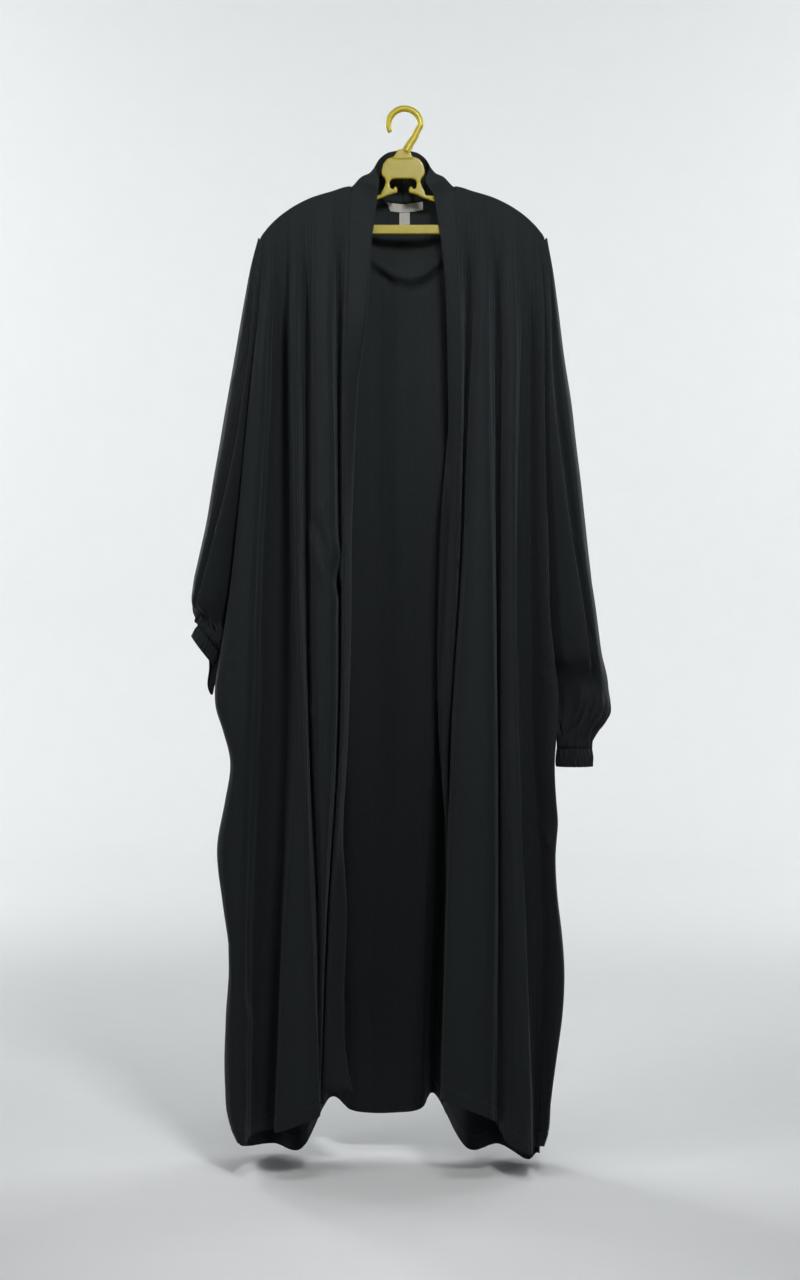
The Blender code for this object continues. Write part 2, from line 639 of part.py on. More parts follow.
def material(name, colour, roughness):
    made = bpy.data.materials.new(name)
    made.use_nodes = True
    shader = made.node_tree.nodes["Principled BSDF"]
    shader.inputs["Base Color"].default_value = (*colour, 1)
    shader.inputs["Roughness"].default_value = roughness
    shader.inputs["Metallic"].default_value = 0
    return made


# Hanger outlines, in millimetres across and drop
PLATE_HALF = (
    (7.5, 51), (13.5, 61), (23, 64.5), (28, 71), (29.5, 76), (31, 82), (30, 88), (26.5, 92),
    (24.5, 97), (27, 104), (31, 112),
)
PLATE_MIDDLE = 1.0
OPENING_HALF = ((12.5, 92.5), (17, 94), (19.5, 98), (18.5, 106), (14.5, 108), (11.5, 103.5))
PLATE_FOOT = ((8.5, 106), (8, 112), (15, 114))
ARM_UNDER = ((24, 117.5), (34, 121.5), (60, 129), (80, 134), (95, 138), (150, 157), (180, 169), (196, 178))
ARM_STATIONS = (24, 34, 45, 60, 72, 80, 90, 115, 138, 155, 170, 182, 190, 196)
ARM_LEAST = 6
NECK = ((22, -23), (16.5, -34), (10, -44), (5, -54))
HOOK_START = 208


def slab(name, outline, thickness):
    """A flat outline in the XZ plane as a curve of the given thickness, filled on both sides."""
    curve = bpy.data.curves.new(name, "CURVE")
    curve.dimensions = "2D"
    curve.fill_mode = "BOTH"
    curve.extrude = thickness / 2
    spline = curve.splines.new("POLY")
    spline.points.add(len(outline) - 1)
    for point, (across, drop) in zip(spline.points, outline):
        point.co = (across * MM, -drop * MM, 0, 1)
    spline.use_cyclic_u = True
    obj = bpy.data.objects.new(name, curve)
    obj.rotation_euler = (math.pi / 2, 0, 0)
    return obj


def as_mesh(obj, collection):
    """The object's evaluated shape as a mesh with welded caps; the curve is removed."""
    collection.objects.link(obj)
    bpy.context.view_layer.update()
    graph = bpy.context.evaluated_depsgraph_get()
    mesh = bpy.data.meshes.new_from_object(obj.evaluated_get(graph))
    builder = bmesh.new()
    builder.from_mesh(mesh)
    bmesh.ops.remove_doubles(builder, verts=builder.verts, dist=1e-6)
    bmesh.ops.recalc_face_normals(builder, faces=builder.faces)
    builder.to_mesh(mesh)
    builder.free()
    made = bpy.data.objects.new(obj.name, mesh)
    made.matrix_world = obj.matrix_world.copy()
    collection.objects.link(made)
    bpy.data.objects.remove(obj)
    return made


def arm_top_drop(across):
    """Drop of the arm's upper edge, just under the cloth and lower beside the neck."""
    slope = float(shoulder_drop(across + 1) - shoulder_drop(across - 1)) / 2
    under_cloth = (ARM_CLEAR + WALL / 2) / MM * math.hypot(1, slope)
    return float(shoulder_drop(across)) + under_cloth + ARM_NECK_FALL * float(ease((96 - across) / 36))


def arm(side):
    """One arm as a loft of chamfered sections from the plate out to the tip."""
    under = through([x for x, _ in ARM_UNDER], [drop for _, drop in ARM_UNDER])
    half, chamfer = ARM_HALF_THICK, ARM_CHAMFER
    builder = bmesh.new()
    rings = []
    for across in ARM_STATIONS:
        top = min(arm_top_drop(across), float(under(across)) - ARM_LEAST) * MM
        low = float(under(across)) * MM
        shape = ((half - chamfer, top), (half, top + chamfer), (half, low), (-half, low),
                 (-half, top + chamfer), (chamfer - half, top))
        x = sign_of(side) * across * MM
        rings.append([builder.verts.new((x, back, -drop)) for back, drop in shape])
    for inner, outer in zip(rings, rings[1:]):
        for k in range(len(inner)):
            builder.faces.new((inner[k - 1], inner[k], outer[k], outer[k - 1]))
    builder.faces.new(rings[0])
    builder.faces.new(rings[-1])
    bmesh.ops.recalc_face_normals(builder, faces=builder.faces)
    mesh = bpy.data.meshes.new(f"arm_{side}")
    builder.to_mesh(mesh)
    builder.free()
    return bpy.data.objects.new(f"arm_{side}", mesh)


def plate_outline():
    """Both halves of the plate, with the opening that its accessory hooks leave between its feet."""
    outer = [*PLATE_HALF, (31, 119.5), *reversed(PLATE_FOOT)]
    half = [*outer, *reversed(OPENING_HALF)]
    right = [(PLATE_MIDDLE + x, drop) for x, drop in half]
    left = [(PLATE_MIDDLE - x, drop) for x, drop in reversed(half)]
    return [*right, *left]


def bar_outline():
    """The trouser bar, from arm to arm."""
    upper, lower = BAR_DROP
    return [(-184, upper), (184, upper), (190, lower), (-190, lower)]


def hook_curve():
    """The hook: an arc over the hanging point, and a neck that curves down to the plate."""
    curve = bpy.data.curves.new("hook", "CURVE")
    curve.dimensions = "3D"
    curve.bevel_depth = HOOK_THICK
    curve.bevel_resolution = 2
    curve.use_fill_caps = True
    centre = (2.9, -15.2)
    radius = HOOK_RADIUS / MM
    arc = [
        (centre[0] + radius * math.cos(math.radians(a)), centre[1] + radius * math.sin(math.radians(a)))
        for a in range(HOOK_START, -5, -13)
    ]
    route = [*arc, *NECK]
    spline = curve.splines.new("POLY")
    spline.points.add(len(route) - 1)
    for point, (across, height) in zip(spline.points, route):
        point.co = (across * MM, 0, height * MM, 1)
    return bpy.data.objects.new("hook", curve)


def build_hanger(plastic, collection, cutters):
    """The hook, plate, arms and bar, joined into one moulding."""
    pieces = [
        as_mesh(slab("plate", plate_outline(), PLATE_THICK), collection),
        arm("left"),
        arm("right"),
        as_mesh(slab("bar", bar_outline(), 2 * BAR_HALF_THICK), cutters),
        as_mesh(hook_curve(), cutters),
    ]
    for piece in pieces[1:3]:
        cutters.objects.link(piece)
    hanger = pieces[0]
    hanger.name = "hanger"
    hanger.data.name = "hanger"
    hanger.data.materials.clear()
    hanger.data.materials.append(plastic)
    for piece in pieces[1:]:
        piece.hide_render = True
        piece.display_type = "WIRE"
        join = hanger.modifiers.new(piece.name, "BOOLEAN")
        join.operation = "UNION"
        join.object = piece
    return hanger


FRONT_NEAR_TOP = (0, 0.9, 3.2, 6.5, 24)
BACK_NEAR_TOP = (*FRONT_NEAR_TOP, 44, 64, 82, 94, 102, 108, 116, 132, 160)
FRONT_ROWS = 15
BACK_ROWS = 14
BAND_NEAR_TOP = (118, 136, 152, 166, 180, 194, 212)
BAND_ROWS = 20
COLLAR_ROWS = 10
BAND_STEPS = 6


def main():
    for obj in list(bpy.data.objects):
        bpy.data.objects.remove(obj)
    dress = bpy.data.collections.new("prayer_dress")
    helpers = bpy.data.collections.new("hanger_pieces")
    for collection in (dress, helpers):
        bpy.context.scene.collection.children.link(collection)

    cloth = material("black crepe", (0.012, 0.013, 0.014), 0.8)
    woven = material("white woven label", (0.62, 0.6, 0.55), 0.7)
    plastic = material("yellow plastic", (0.75, 0.6, 0.02), 0.3)

    back = back_panel()
    back_points = back.grid(STEPS, BACK_NEAR_TOP, BACK_ROWS)
    mesh_object("back", back_points, WALL, cloth, dress)
    for side in ("left", "right"):
        front = front_panel(side)
        grid = front.grid(STEPS, FRONT_NEAR_TOP, FRONT_ROWS)
        mesh_object(f"front_{side}", grid, WALL, cloth, dress)
        band, neck = band_grid(side, front, back_points[0], BAND_ROWS, COLLAR_ROWS, BAND_STEPS)
        mesh_object(f"band_{side}", band[:neck], WALL, cloth, dress)
        mesh_object(f"collar_{side}", collar_grid(band, neck), WALL, cloth, dress)
        sleeve = sleeve_grid(side, front, back, 1, 4)
        mesh_object(f"sleeve_{side}", sleeve, WALL, cloth, dress)
        cuff = mesh_object(f"cuff_{side}", cuff_grid(side, 3, 2 * CUFF_RUFFLES), WALL, cloth, dress)
        close_ring(cuff)
    mesh_object("neck_label", label_grid(back, LABEL, LABEL_SLANT, 8, 2), LABEL_WALL, woven, dress)
    mesh_object("size_tab", label_grid(back, TAB, 0, 3, 3), LABEL_WALL, woven, dress)
    build_hanger(plastic, dress, helpers)


main()
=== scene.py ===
"""The looks of an open-front black prayer dress on a translucent yellow hanger.

Metres, +Z up, the front faces -Y, and the origin is the inside top of the hanger's hook.
The tables are in millimetres: across is X, back is Y, and drop is the distance below the origin.
"""

import math

import bmesh
import bpy
import numpy as np
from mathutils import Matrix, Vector

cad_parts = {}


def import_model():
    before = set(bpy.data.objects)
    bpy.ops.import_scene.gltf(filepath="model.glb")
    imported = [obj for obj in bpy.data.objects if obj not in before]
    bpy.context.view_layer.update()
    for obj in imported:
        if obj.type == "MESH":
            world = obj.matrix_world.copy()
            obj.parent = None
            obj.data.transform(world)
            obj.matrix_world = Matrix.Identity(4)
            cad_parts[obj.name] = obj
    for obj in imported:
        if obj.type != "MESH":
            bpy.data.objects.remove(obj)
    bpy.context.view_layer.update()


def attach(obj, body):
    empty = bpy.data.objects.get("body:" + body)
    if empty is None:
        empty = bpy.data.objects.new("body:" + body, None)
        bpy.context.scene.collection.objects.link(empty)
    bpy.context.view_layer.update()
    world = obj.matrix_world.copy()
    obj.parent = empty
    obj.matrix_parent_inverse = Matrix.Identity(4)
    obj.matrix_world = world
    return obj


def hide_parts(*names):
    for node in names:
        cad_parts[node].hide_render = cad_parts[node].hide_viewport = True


MM = 0.001

# Cloth in CAD: its wall, and the gap of a seam
WALL = 0.0016
SEAM = 0.0004

# Hanger: thicknesses, gap and radius in metres, the others in millimetres
ARM_HALF_THICK = 0.0035
ARM_CLEAR = 0.0008
ARM_NECK_FALL = 12
ARM_NECK_FADE = (96, 36)
PLATE_THICK = 0.0080
HOOK_RADIUS = 0.0230
BAR_DROP = (158.5, 171.5)
BAR_REACH = (184, 190)
BAR_HALF_THICK = 0.0028

# The shoulder line, the same on both sides of the neck
SHOULDER_ACROSS = (70, 82, 96, 138, 163, 182, 195, 203, 206)
SHOULDER_DROP = (103, 104.5, 109, 123, 137, 152, 166, 178, 186)
SHOULDER_POINT = 75
TOP_EDGE_GAP = 0.42
FOLDS_OPEN_OVER = 220
FOLD_LEAST_STEP = 14
TOP_TRIES = 5

# The neckline on the back, from the centre to the shoulder point
NECK_ACROSS = (0, 34, 58, 75)
NECK_DROP = (121.5, 117, 109, 104)
NECK_BACK = (38, 32, 18, 1)

# Heights at which each fold's place is given
LEVELS = (130, 385, 640, 893, 1146, 1400)
DEPTH_LEVELS = (385, 893, 1400)
FRONT_BASE = (-32, -45, -62)
BACK_BASE = (34, 62, 95)

# Side of the body: drop, across
SIDE_LEFT = (
    (183, -203), (268, -204), (410, -217), (553, -230), (650, -240), (741, -252), (785, -259),
    (823, -264), (846, -263), (880, -253), (923, -243), (980, -250), (1050, -261), (1122, -254),
    (1193, -245), (1293, -249), (1378, -250), (1435, -244), (1464, -231),
)
SIDE_RIGHT = (
    (183, 200), (268, 200), (410, 200), (553, 203), (667, 206), (724, 208), (780, 213), (823, 218),
    (880, 217), (923, 214), (980, 216), (1008, 218), (1051, 215), (1122, 218), (1165, 223),
    (1222, 227), (1293, 223), (1336, 217), (1407, 208), (1449, 204), (1471, 197),
)
SIDE_SEAM_BACK = ((183, 2), (385, 12), (640, 18), (893, 22), (1146, 22), (1400, 18))
CORNER_ROUND = 7
CORNER_FADE = (190, 80)
BACK_WIDER = 2.6
BACK_WIDER_FADE = (265, 60)

# Armhole slit in the side: from the shoulder tip to the underarm, and half its width
ARMHOLE = (188, 600)
ARMHOLE_HALF = 14
SIDE_GAP = 0.55

# Front folds, from the band seam to the side:
# name, across at LEVELS, depth from the base at DEPTH_LEVELS, drop of the hem
FRONT_LEFT = (
    ("band seam", (-74, -81, -81, -84, -100, -111), (4, 9, 33), 1408),
    ("band ridge", (-79, -85, -85, -88, -103, -114), (2, 5, 34), 1410),
    ("inner valley", (-92, -92, -90, -91, -107, -119), (22, 24, 32), 1411),
    ("inner ridge, near", (-104, -102, -98, -98, -109, -117), (-2, -2, 24), 1413),
    ("inner ridge, far", (-127, -127, -127, -124, -115, -117), (-2, -4, 16), 1415),
    ("sharp valley", (-141, -139, -137, -131, -122, -121), (18, 20, 6), 1417),
    ("middle ridge, near", (-149, -149, -145, -137, -129, -118), (-4, -6, -6), 1420),
    ("middle ridge, far", (-160, -159, -154, -152, -165, -175), (-6, -8, -12), 1440),
    ("broad valley, near", (-166, -163, -161, -164, -172, -179), (22, 28, 26), 1446),
    ("broad valley, far", (-177, -184, -194, -198, -207, -212), (20, 26, 26), 1454),
    ("outer ridge", (-187, -199, -212, -222, -227, -224), (-2, 2, 8), 1462),
)
FRONT_RIGHT = (
    ("band seam", (75, 79, 74, 61, 62, 55), (5, 39, 36), 1402),
    ("band ridge", (80, 83.5, 78, 65, 65, 58), (3, 35, 33), 1403),
    ("inner valley", (95, 89, 83, 70, 69, 62), (26, 30, 26), 1404),
    ("broad ridge, near", (111, 99, 89, 72, 62, 54), (-2, -4, -6), 1395),
    ("broad ridge, far", (121, 122, 126, 129, 128, 121), (-4, -6, -6), 1422),
    ("sharp valley", (133, 133, 134, 136, 136, 134), (22, 24, 14), 1436),
    ("middle ridge, near", (147, 144, 142, 142, 144, 147), (-2, -2, 2), 1457),
    ("middle ridge, far", (159, 159, 158, 162, 170, 178), (-6, -8, -12), 1471),
    ("broad valley, near", (171, 167, 162, 164, 174, 184), (14, 20, 20), 1472),
    ("broad valley, far", (184, 184, 185, 188, 200, 192), (22, 26, 22), 1471),
)
CORNER_DEPTH = {"left": (6, 12, 22), "right": (6, 10, 18)}
CORNER_HEM = {"left": (1460, 1472), "right": (1466, 1480)}

# Back folds, from the left side to the right
BACK = (
    ("left corner", (-194, -203, -219, -233, -238, -222), (2, -10, -30), 1490),
    ("left outer ridge", (-165, -172, -186, -192, -194, -190), (16, 20, 14), 1496),
    ("left valley", (-135, -142, -152, -154, -152, -146), (-6, -12, -20), 1492),
    ("left inner ridge", (-105, -110, -115, -114, -112, -108), (14, 20, 40), 1434),
    ("left of the middle", (-75, -78, -82, -80, -79, -77), (-4, -4, 12), 1446),
    ("middle, left", (-40, -40, -40, -40, -42, -45), (2, 4, 8), 1450),
    ("middle", (-2, -2, -2, -2, -4, -8), (-2, -2, 6), 1449),
    ("middle, right", (30, 30, 29, 26, 22, 18), (2, 2, 4), 1446),
    ("right of the middle", (62, 62, 55, 47, 38, 31), (-2, 0, 6), 1440),
    ("right inner ridge", (90, 90, 85, 76, 62, 48), (14, 24, 50), 1430),
    ("right valley", (120, 120, 120, 116, 104, 92), (-6, -12, -28), 1488),
    ("right outer ridge", (150, 152, 155, 157, 154, 142), (16, 18, -8), 1492),
    ("right outer valley", (174, 176, 179, 183, 188, 180), (-2, -12, -34), 1503),
    ("right corner", (192, 194, 196, 206, 211, 194), (4, -14, -44), 1497),
)
BACK_SIDE_HEM = {"left": 1480, "right": 1490}

# Cowl fold across the back, under the neck
COWL_MIDDLE = 11
COWL_DROP = 228
COWL_RISE = {"left": 22, "right": 34}
COWL_REACH = 54
COWL_FADE = (70, 50)
COWL_FORWARD = 20
COWL_ABOVE = 62
COWL_BELOW = 14
COWL_OPENS_OVER = 40

# Front band: drop, then across and back from its seam to its roll, then from the roll to its edge
BAND_LEFT = (
    (118, 25, 0, 13, -1), (150, 27, 1, 8, 1), (176, 28, 2, 4, 2.5), (205, 29, 6, 0, 9),
    (240, 29, 10, -8, 20), (290, 28, 13, -15, 26), (385, 18, 22, -16, 26),
    (480, 13, 25, -10, 28), (540, 10, 26, -4, 30), (610, 8, 28, -5, 31), (700, 8, 28, -8, 30),
    (893, 6, 29, -8, 30), (1040, 8, 27, -6, 30), (1120, 18, 22, -8, 28), (1270, 22, 20, -10, 28),
    (1350, 28, 14, -8, 26), (1392, 38, 6, -10, 22),
)
BAND_RIGHT = (
    (118, -22, 0, -8, -1), (150, -20, 1, -5, 1), (176, -19, 2, -2.5, 3), (205, -18, 6, 2, 10),
    (240, -16, 10, 7, 20), (290, -15, 14, 8, 26), (385, -14, 18, 6, 28),
    (480, -11, 23, -4, 12), (560, -10, 28, -10, -8), (640, -11, 30, -10, -10), (760, -9, 30, -8, -4),
    (893, -4, 28, -4, 12), (1040, 1, 28, 2, 24), (1200, 3, 28, 6, 28), (1400, 8, 24, 14, 24),
)
BAND_HEM = {"left": (1394, 1391), "right": (1410, 1420)}
BAND_TAIL = 1300

# The band round the neck: across of its seam, then across, back and drop of its roll and its edge
COLLAR = (
    ("shoulder", 73, (57, -8, 93), (33, -10, 99)),
    ("side", 62, (50, 12, 86), (38, 11, 73)),
    ("back of the side", 34, (31, 32, 82), (25, 29, 51)),
    ("centre back", 0, (0, 39, 82), (0, 36, 43)),
)

# Sleeves: drop, drop at the swag in front, drop at the sag behind, overarm fold across,
# swag crest across, crest back, far wall back, depth of the wedge beside the crest,
# how much lower the underarm is than the overarm
SLEEVE_LEFT = (
    (185, 185, 185, 206, 205, -3.2, 7.5, 0, 0), (206, 206, 206, 213.5, 205.5, -9, 13, 2, 0),
    (225, 225, 225, 218, 206, -12.5, 18, 4, 0), (265, 265, 265, 226, 211.5, -15, 27, 7, 0),
    (350, 350, 350, 241, 219, -18, 36, 12, 0), (407, 407, 407, 251, 227, -24, 41, 14, 0),
    (465, 465, 465, 261, 235, -28, 45, 16, 0), (522, 522, 522, 271, 246, -32, 48, 17, 0),
    (580, 580, 590, 280, 259, -36, 51, 17, 0), (637, 637, 672, 292, 273, -40, 54, 12, 0),
    (672, 676, 728, 299, 281, -42, 54, 7, 0), (696, 698, 772, 300, 282, -36, 54, 3, 5),
    (710, 708, 804, 297, 278, -24, 54, 1, 16), (722, 717, 832, 292, 273, -14, 50, 0, 30),
)
SLEEVE_RIGHT = (
    (185, 185, 185, 206.5, 204, -3.2, 7.5, 0, 0), (206, 206, 206, 211.5, 202.5, -9, 13, 1, 0),
    (225, 225, 225, 215, 204.5, -13.5, 19, 3, 0), (265, 265, 265, 221, 208.5, -15, 27, 6, 0),
    (350, 350, 350, 232, 211, -20, 36, 12, 0), (407, 407, 407, 241, 214, -26, 41, 15, 0),
    (465, 465, 465, 248, 220, -30, 45, 17, 0), (522, 522, 522, 255, 227, -34, 48, 17, 0),
    (580, 580, 580, 261, 234, -38, 51, 17, 0), (637, 637, 637, 267, 242, -42, 52, 16, 0),
    (695, 695, 695, 275, 251, -46, 54, 14, 0), (745, 748, 748, 281, 258, -48, 54, 12, 0),
    (778, 779, 784, 285, 261, -44, 53, 8, 0), (798, 793, 812, 289, 261, -26, 51, 4, 0),
    (820, 808, 838, 294, 259, -13, 49, 2, 0), (850, 838, 862, 298, 258, -11, 44, 1, 0),
)
SLEEVE_CLEAR = 1.5
SLEEVE_PROUD = 0.3
TOP_LAP = 4.0
TOP_LAP_FADE = (196, 22)
TOP_LAP_PROUD = 1.2
TOP_PROUD_FADE = (200, 40)
SLEEVE_OPENS_BY = 74
UNDERARM_GAP = 0.4
UNDERARM_FREES_OVER = 90
UNDERARM_JOINS_OVER = 70
TIP_LIFT = 8
TIP_ROUND = 7
# How far round the sleeve each line lies, from the underarm over the front,
# and its share of the swag and of the sag
SLEEVE_LINES = (
    ("front edge", 0.00, 0.0, 0.0), ("valley", 0.10, 0.8, 0.0), ("crest", 0.20, 1.0, 0.0),
    ("wedge", 0.28, 0.9, 0.0), ("outer front", 0.38, 0.2, 0.0), ("overarm fold", 0.50, 0.0, 0.0),
    ("outer back", 0.62, 0.0, 0.3), ("far wall", 0.76, 0.0, 1.0), ("inner back", 0.89, 0.0, 0.6),
    ("back edge", 1.00, 0.0, 0.0),
)
SLEEVE_COLUMNS = 193
SLEEVE_GATHERS = 16
GATHER_DEPTH = {"left": 0.0022, "right": 0.0030}
CUFF_LEAD = 0.006

# Cuffs: middle of the ring next to the sleeve, direction across it outwards, direction along it
CUFFS = {
    "left": ((-0.2755, 0.008, -0.7480), (-0.61, 0, 0.79), (-0.50, 0, -0.866), 0.022),
    "right": ((0.2466, 0.010, -0.9070), (1, 0, 0), (0, 0, -1), 0.026),
}
SLEEVE_BAGS = {"left": 1, "right": 0}
CUFF_LAP = {"left": 0.0034, "right": 0}
BAG_LEAD = (0, 0.008, -0.003)
CUFF_HALF_ACROSS = 0.0245
CUFF_HALF_BACK = 0.0200
CUFF_RUFFLES = 20
RUFFLE_DEPTH = 0.0016
CUFF_BELLY = 0.0012

# Label sewn under the back neckline, and the tab below it
LABEL = (-22.5, 29.5, 0.8, 12.8)
LABEL_SLANT = 5
TAB = (-4.5, 10.5, 13.4, 36)
LABEL_OFF = 0.0018

# Thickness of each cloth as shown, in metres
CREPE_THICK = 0.0007
LABEL_THICK = 0.0004
# The turned hem: its depth, how proud it stands and over how far it rises, the depth and
# half width of its stitching's line, and the height, middle and reach of its puckers
HEM_DEEP = 21
HEM_PROUD = (0.35, 1.5)
HEM_LINE = (-0.5, 1.3)
HEM_PUCKER = (0.45, 12, 11)
# How finely each sheet is laid out
HEM_ROWS = (27, 23.5, 22, 21, 20, 18.5, 15, 11, 7, 4, 2, 0.8, 0)
ROW_STEP = 8.5
PANEL_STEPS = {"front_left": 11, "front_right": 12, "back": 13}
TOP_ROWS = (0, 0.5, 1.1, 1.9, 2.8, 3.8, 5, 6.6, 9, 12.5, 17, 23, 30, 38, 46, 54, 62, 70, 78, 85, 91, 96,
            101, 106, 111, 117, 124, 132, 141, 150, 160)
BAND_NEAR_TOP = tuple(range(118, 213, 5))
BAND_ROWS = 150
COLLAR_ROWS = 44
BAND_STEPS = 30
SLEEVE_BETWEEN = 7
SLEEVE_GATHER_ROWS = 22
CUFF_ROWS = 26
CUFF_COLUMNS = 12 * CUFF_RUFFLES
LABEL_CELLS = (8, 3)
LABEL_POINTS = (60, 24)
PLACE_SAMPLES = 600
# How much deeper a valley is shown than its table says, at DEPTH_LEVELS
VALLEY_DEEPER = (1.35, 1.7, 1.7)

# Hanger outlines, in millimetres across and drop, and how finely its arms and neck are laid out
PLATE_HALF = (
    (7.5, 51), (13.5, 61), (23, 64.5), (28, 71), (29.5, 76), (31, 82), (30, 88), (26.5, 92),
    (24.5, 97), (27, 104), (31, 112),
)
PLATE_MIDDLE = 1.0
OPENING_HALF = ((12.5, 92.5), (17, 94), (19.5, 98), (18.5, 106), (14.5, 108), (11.5, 103.5))
PLATE_FOOT = ((8.5, 106), (8, 112), (15, 114))
ARM_UNDER = ((24, 117.5), (34, 121.5), (60, 129), (80, 134), (95, 138), (150, 157), (180, 169), (196, 178))
ARM_REACH = (24, 196)
ARM_LEAST = 6
NECK = ((22, -23), (16.5, -34), (10, -44), (5, -54))
ARM_RINGS = 60
ARM_WEB = 1.6
HOOK_CENTRE = (2.9, -15.2)
HOOK_ARC = (208, -8, -6)
NECK_POINTS = 12

# Hanger as shown: radii along the hook from its tip down to the plate, and the moulding's voxel
HOOK_RADII = ((0, 3.3), (0.1, 4.2), (0.5, 4.7), (0.85, 5.0), (1, 6.5))
HOOK_SIDES = 20
HOOK_FLATTER = 0.86
MOULD_VOXEL = 0.0009
PLATE_SLIMMER = 0.6
# The ridge across the plate's top: its ends, radii, sides, and how much wider it is than high
PLATE_RIDGE = ((-14, 63.5), (14, 63.5))
RIDGE_RADII = (1.4, 1.4)
RIDGE_SIDES = 10
RIDGE_WIDER = 3.0

# Fine creases on each sheet: name, path as (across, drop), half width, rise towards the outside
CREASES = {
    "front_left": (
        ("pull from the band, ridge", ((-119, 548), (-102, 608), (-82, 678)), 6, 4.4),
        ("pull from the band, valley", ((-130, 572), (-112, 620), (-88, 690)), 5, -4.4),
        ("pull from the band, lower ridge", ((-136, 584), (-119, 634), (-92, 716)), 6, 3.0),
        ("nick above the knee", ((-130, 790), (-116, 780), (-101, 772)), 4, 1.4),
        ("nick at the knee", ((-132, 842), (-122, 862), (-108, 878)), 5, 1.6),
        ("outer nick", ((-254, 770), (-243, 783), (-229, 786)), 4, 1.8),
        ("outer nick, valley", ((-250, 781), (-240, 793), (-226, 797)), 4, -1.4),
        ("hem pull", ((-244, 1186), (-226, 1260), (-206, 1336)), 7, 2.4),
        ("hem pull, valley", ((-236, 1190), (-216, 1266), (-196, 1330)), 6, -1.6),
        ("shoulder drape, outer", ((-186, 172), (-188, 300), (-196, 460)), 7, 1.4),
        ("shoulder drape, inner", ((-128, 132), (-138, 260), (-140, 420)), 6, -1.2),
        ("hip drape", ((-180, 560), (-176, 720), (-186, 900)), 9, 1.3),
    ),
    "front_right": (
        ("side nick", ((191, 782), (203, 800), (214, 826)), 4, 1.8),
        ("side nick, valley", ((196, 778), (208, 792), (216, 806)), 3.5, -1.4),
        ("low side nick", ((192, 1004), (203, 1022), (212, 1052)), 5, 1.8),
        ("low side nick, valley", ((188, 1016), (198, 1036), (208, 1062)), 4, -1.2),
        ("shoulder drape, outer", ((178, 156), (182, 300), (183, 470)), 7, 1.3),
        ("shoulder drape, inner", ((108, 116), (112, 250), (110, 420)), 7, -1.2),
        ("hip drape", ((150, 640), (152, 800), (158, 1000)), 8, 1.2),
        ("hem pull", ((90, 1250), (100, 1330), (118, 1400)), 8, 1.6),
    ),
    "back": (
        ("left shoulder drag", ((-186, 190), (-150, 300), (-128, 430)), 12, 2.4),
        ("left shoulder drag, valley", ((-172, 186), (-136, 300), (-112, 440)), 10, -2.0),
        ("right shoulder drag", ((184, 190), (146, 310), (120, 450)), 12, 2.4),
        ("right shoulder drag, valley", ((170, 182), (130, 300), (104, 450)), 10, -2.0),
        ("left underarm drag", ((-214, 560), (-176, 610), (-140, 700)), 11, 2.2),
        ("right underarm drag", ((196, 540), (160, 620), (136, 730)), 11, 2.2),
        ("seat fold, left", ((-120, 800), (-96, 960), (-92, 1130)), 13, 2.6),
        ("seat fold, middle", ((-20, 520), (-14, 760), (-24, 1010)), 14, 1.6),
        ("seat fold, right", ((70, 760), (58, 930), (46, 1120)), 13, 2.4),
        ("low fold, left", ((-176, 930), (-170, 1120), (-158, 1330)), 12, 2.4),
        ("low fold, right", ((134, 900), (128, 1100), (110, 1320)), 12, -2.4),
        ("hem pull, left", ((-60, 1230), (-48, 1330), (-50, 1430)), 9, 1.8),
        ("hem pull, right", ((0, 1260), (6, 1340), (2, 1430)), 9, 1.6),
        ("cowl rim", ((-46, 196), (-36, 209), (-12, 226), (12, 232), (34, 225), (60, 198)), 3.2, -2.6),
        ("under the cowl", ((-50, 204), (-36, 221), (-12, 239), (12, 245), (34, 238), (62, 208)), 5, 4.2),
        ("over the cowl", ((-40, 188), (-12, 210), (12, 215), (36, 207), (56, 182)), 5, 0.8),
    ),
}
# Fine creases on a sleeve: the same, with the way round it in turns in place of across
SLEEVE_CREASES = {
    "left": (
        ("upper wrinkle", ((0.30, 330), (0.38, 372), (0.46, 400)), 0.020, 1.4),
        ("elbow wrinkle", ((0.14, 560), (0.24, 596), (0.36, 612)), 0.016, 1.6),
        ("lip pleat, inner", ((0.12, 690), (0.15, 706), (0.17, 722)), 0.016, -2.0),
        ("lip pleat, outer", ((0.30, 676), (0.34, 700), (0.35, 722)), 0.018, -2.0),
        ("back drag, upper", ((0.62, 300), (0.70, 420), (0.80, 500)), 0.030, 1.8),
        ("back drag, lower", ((0.60, 520), (0.72, 640), (0.84, 720)), 0.030, 2.2),
        ("bag fold", ((0.66, 660), (0.72, 740), (0.76, 800)), 0.020, -2.2),
    ),
    "right": (
        ("elbow wrinkle", ((0.26, 590), (0.33, 618), (0.42, 632)), 0.016, 1.6),
        ("lip pleat, inner", ((0.12, 742), (0.15, 770), (0.16, 800)), 0.016, -1.8),
        ("lip pleat, outer", ((0.32, 730), (0.35, 770), (0.37, 806)), 0.018, -2.0),
        ("back drag, upper", ((0.62, 300), (0.70, 430), (0.80, 520)), 0.030, 1.8),
        ("back drag, lower", ((0.58, 560), (0.70, 690), (0.82, 780)), 0.030, 2.2),
        ("overarm dent", ((0.46, 640), (0.50, 720), (0.54, 790)), 0.022, -1.8),
    ),
}
# Soft pushes that fill out a sleeve above its cuff and its bag: name, middle across and drop,
# reach across and down, shift in X, Y and Z
SLEEVE_PUSHES = {
    "left": (
        ("over the cuff", (-291, 712), (12, 20), (-8, 0, 0)),
        ("low end of the bag", (-262, 822), (22, 26), (-12, -4, 4)),
    ),
    "right": (
        ("over the cuff", (292, 800), (12, 26), (3, 0, 0)),
    ),
}

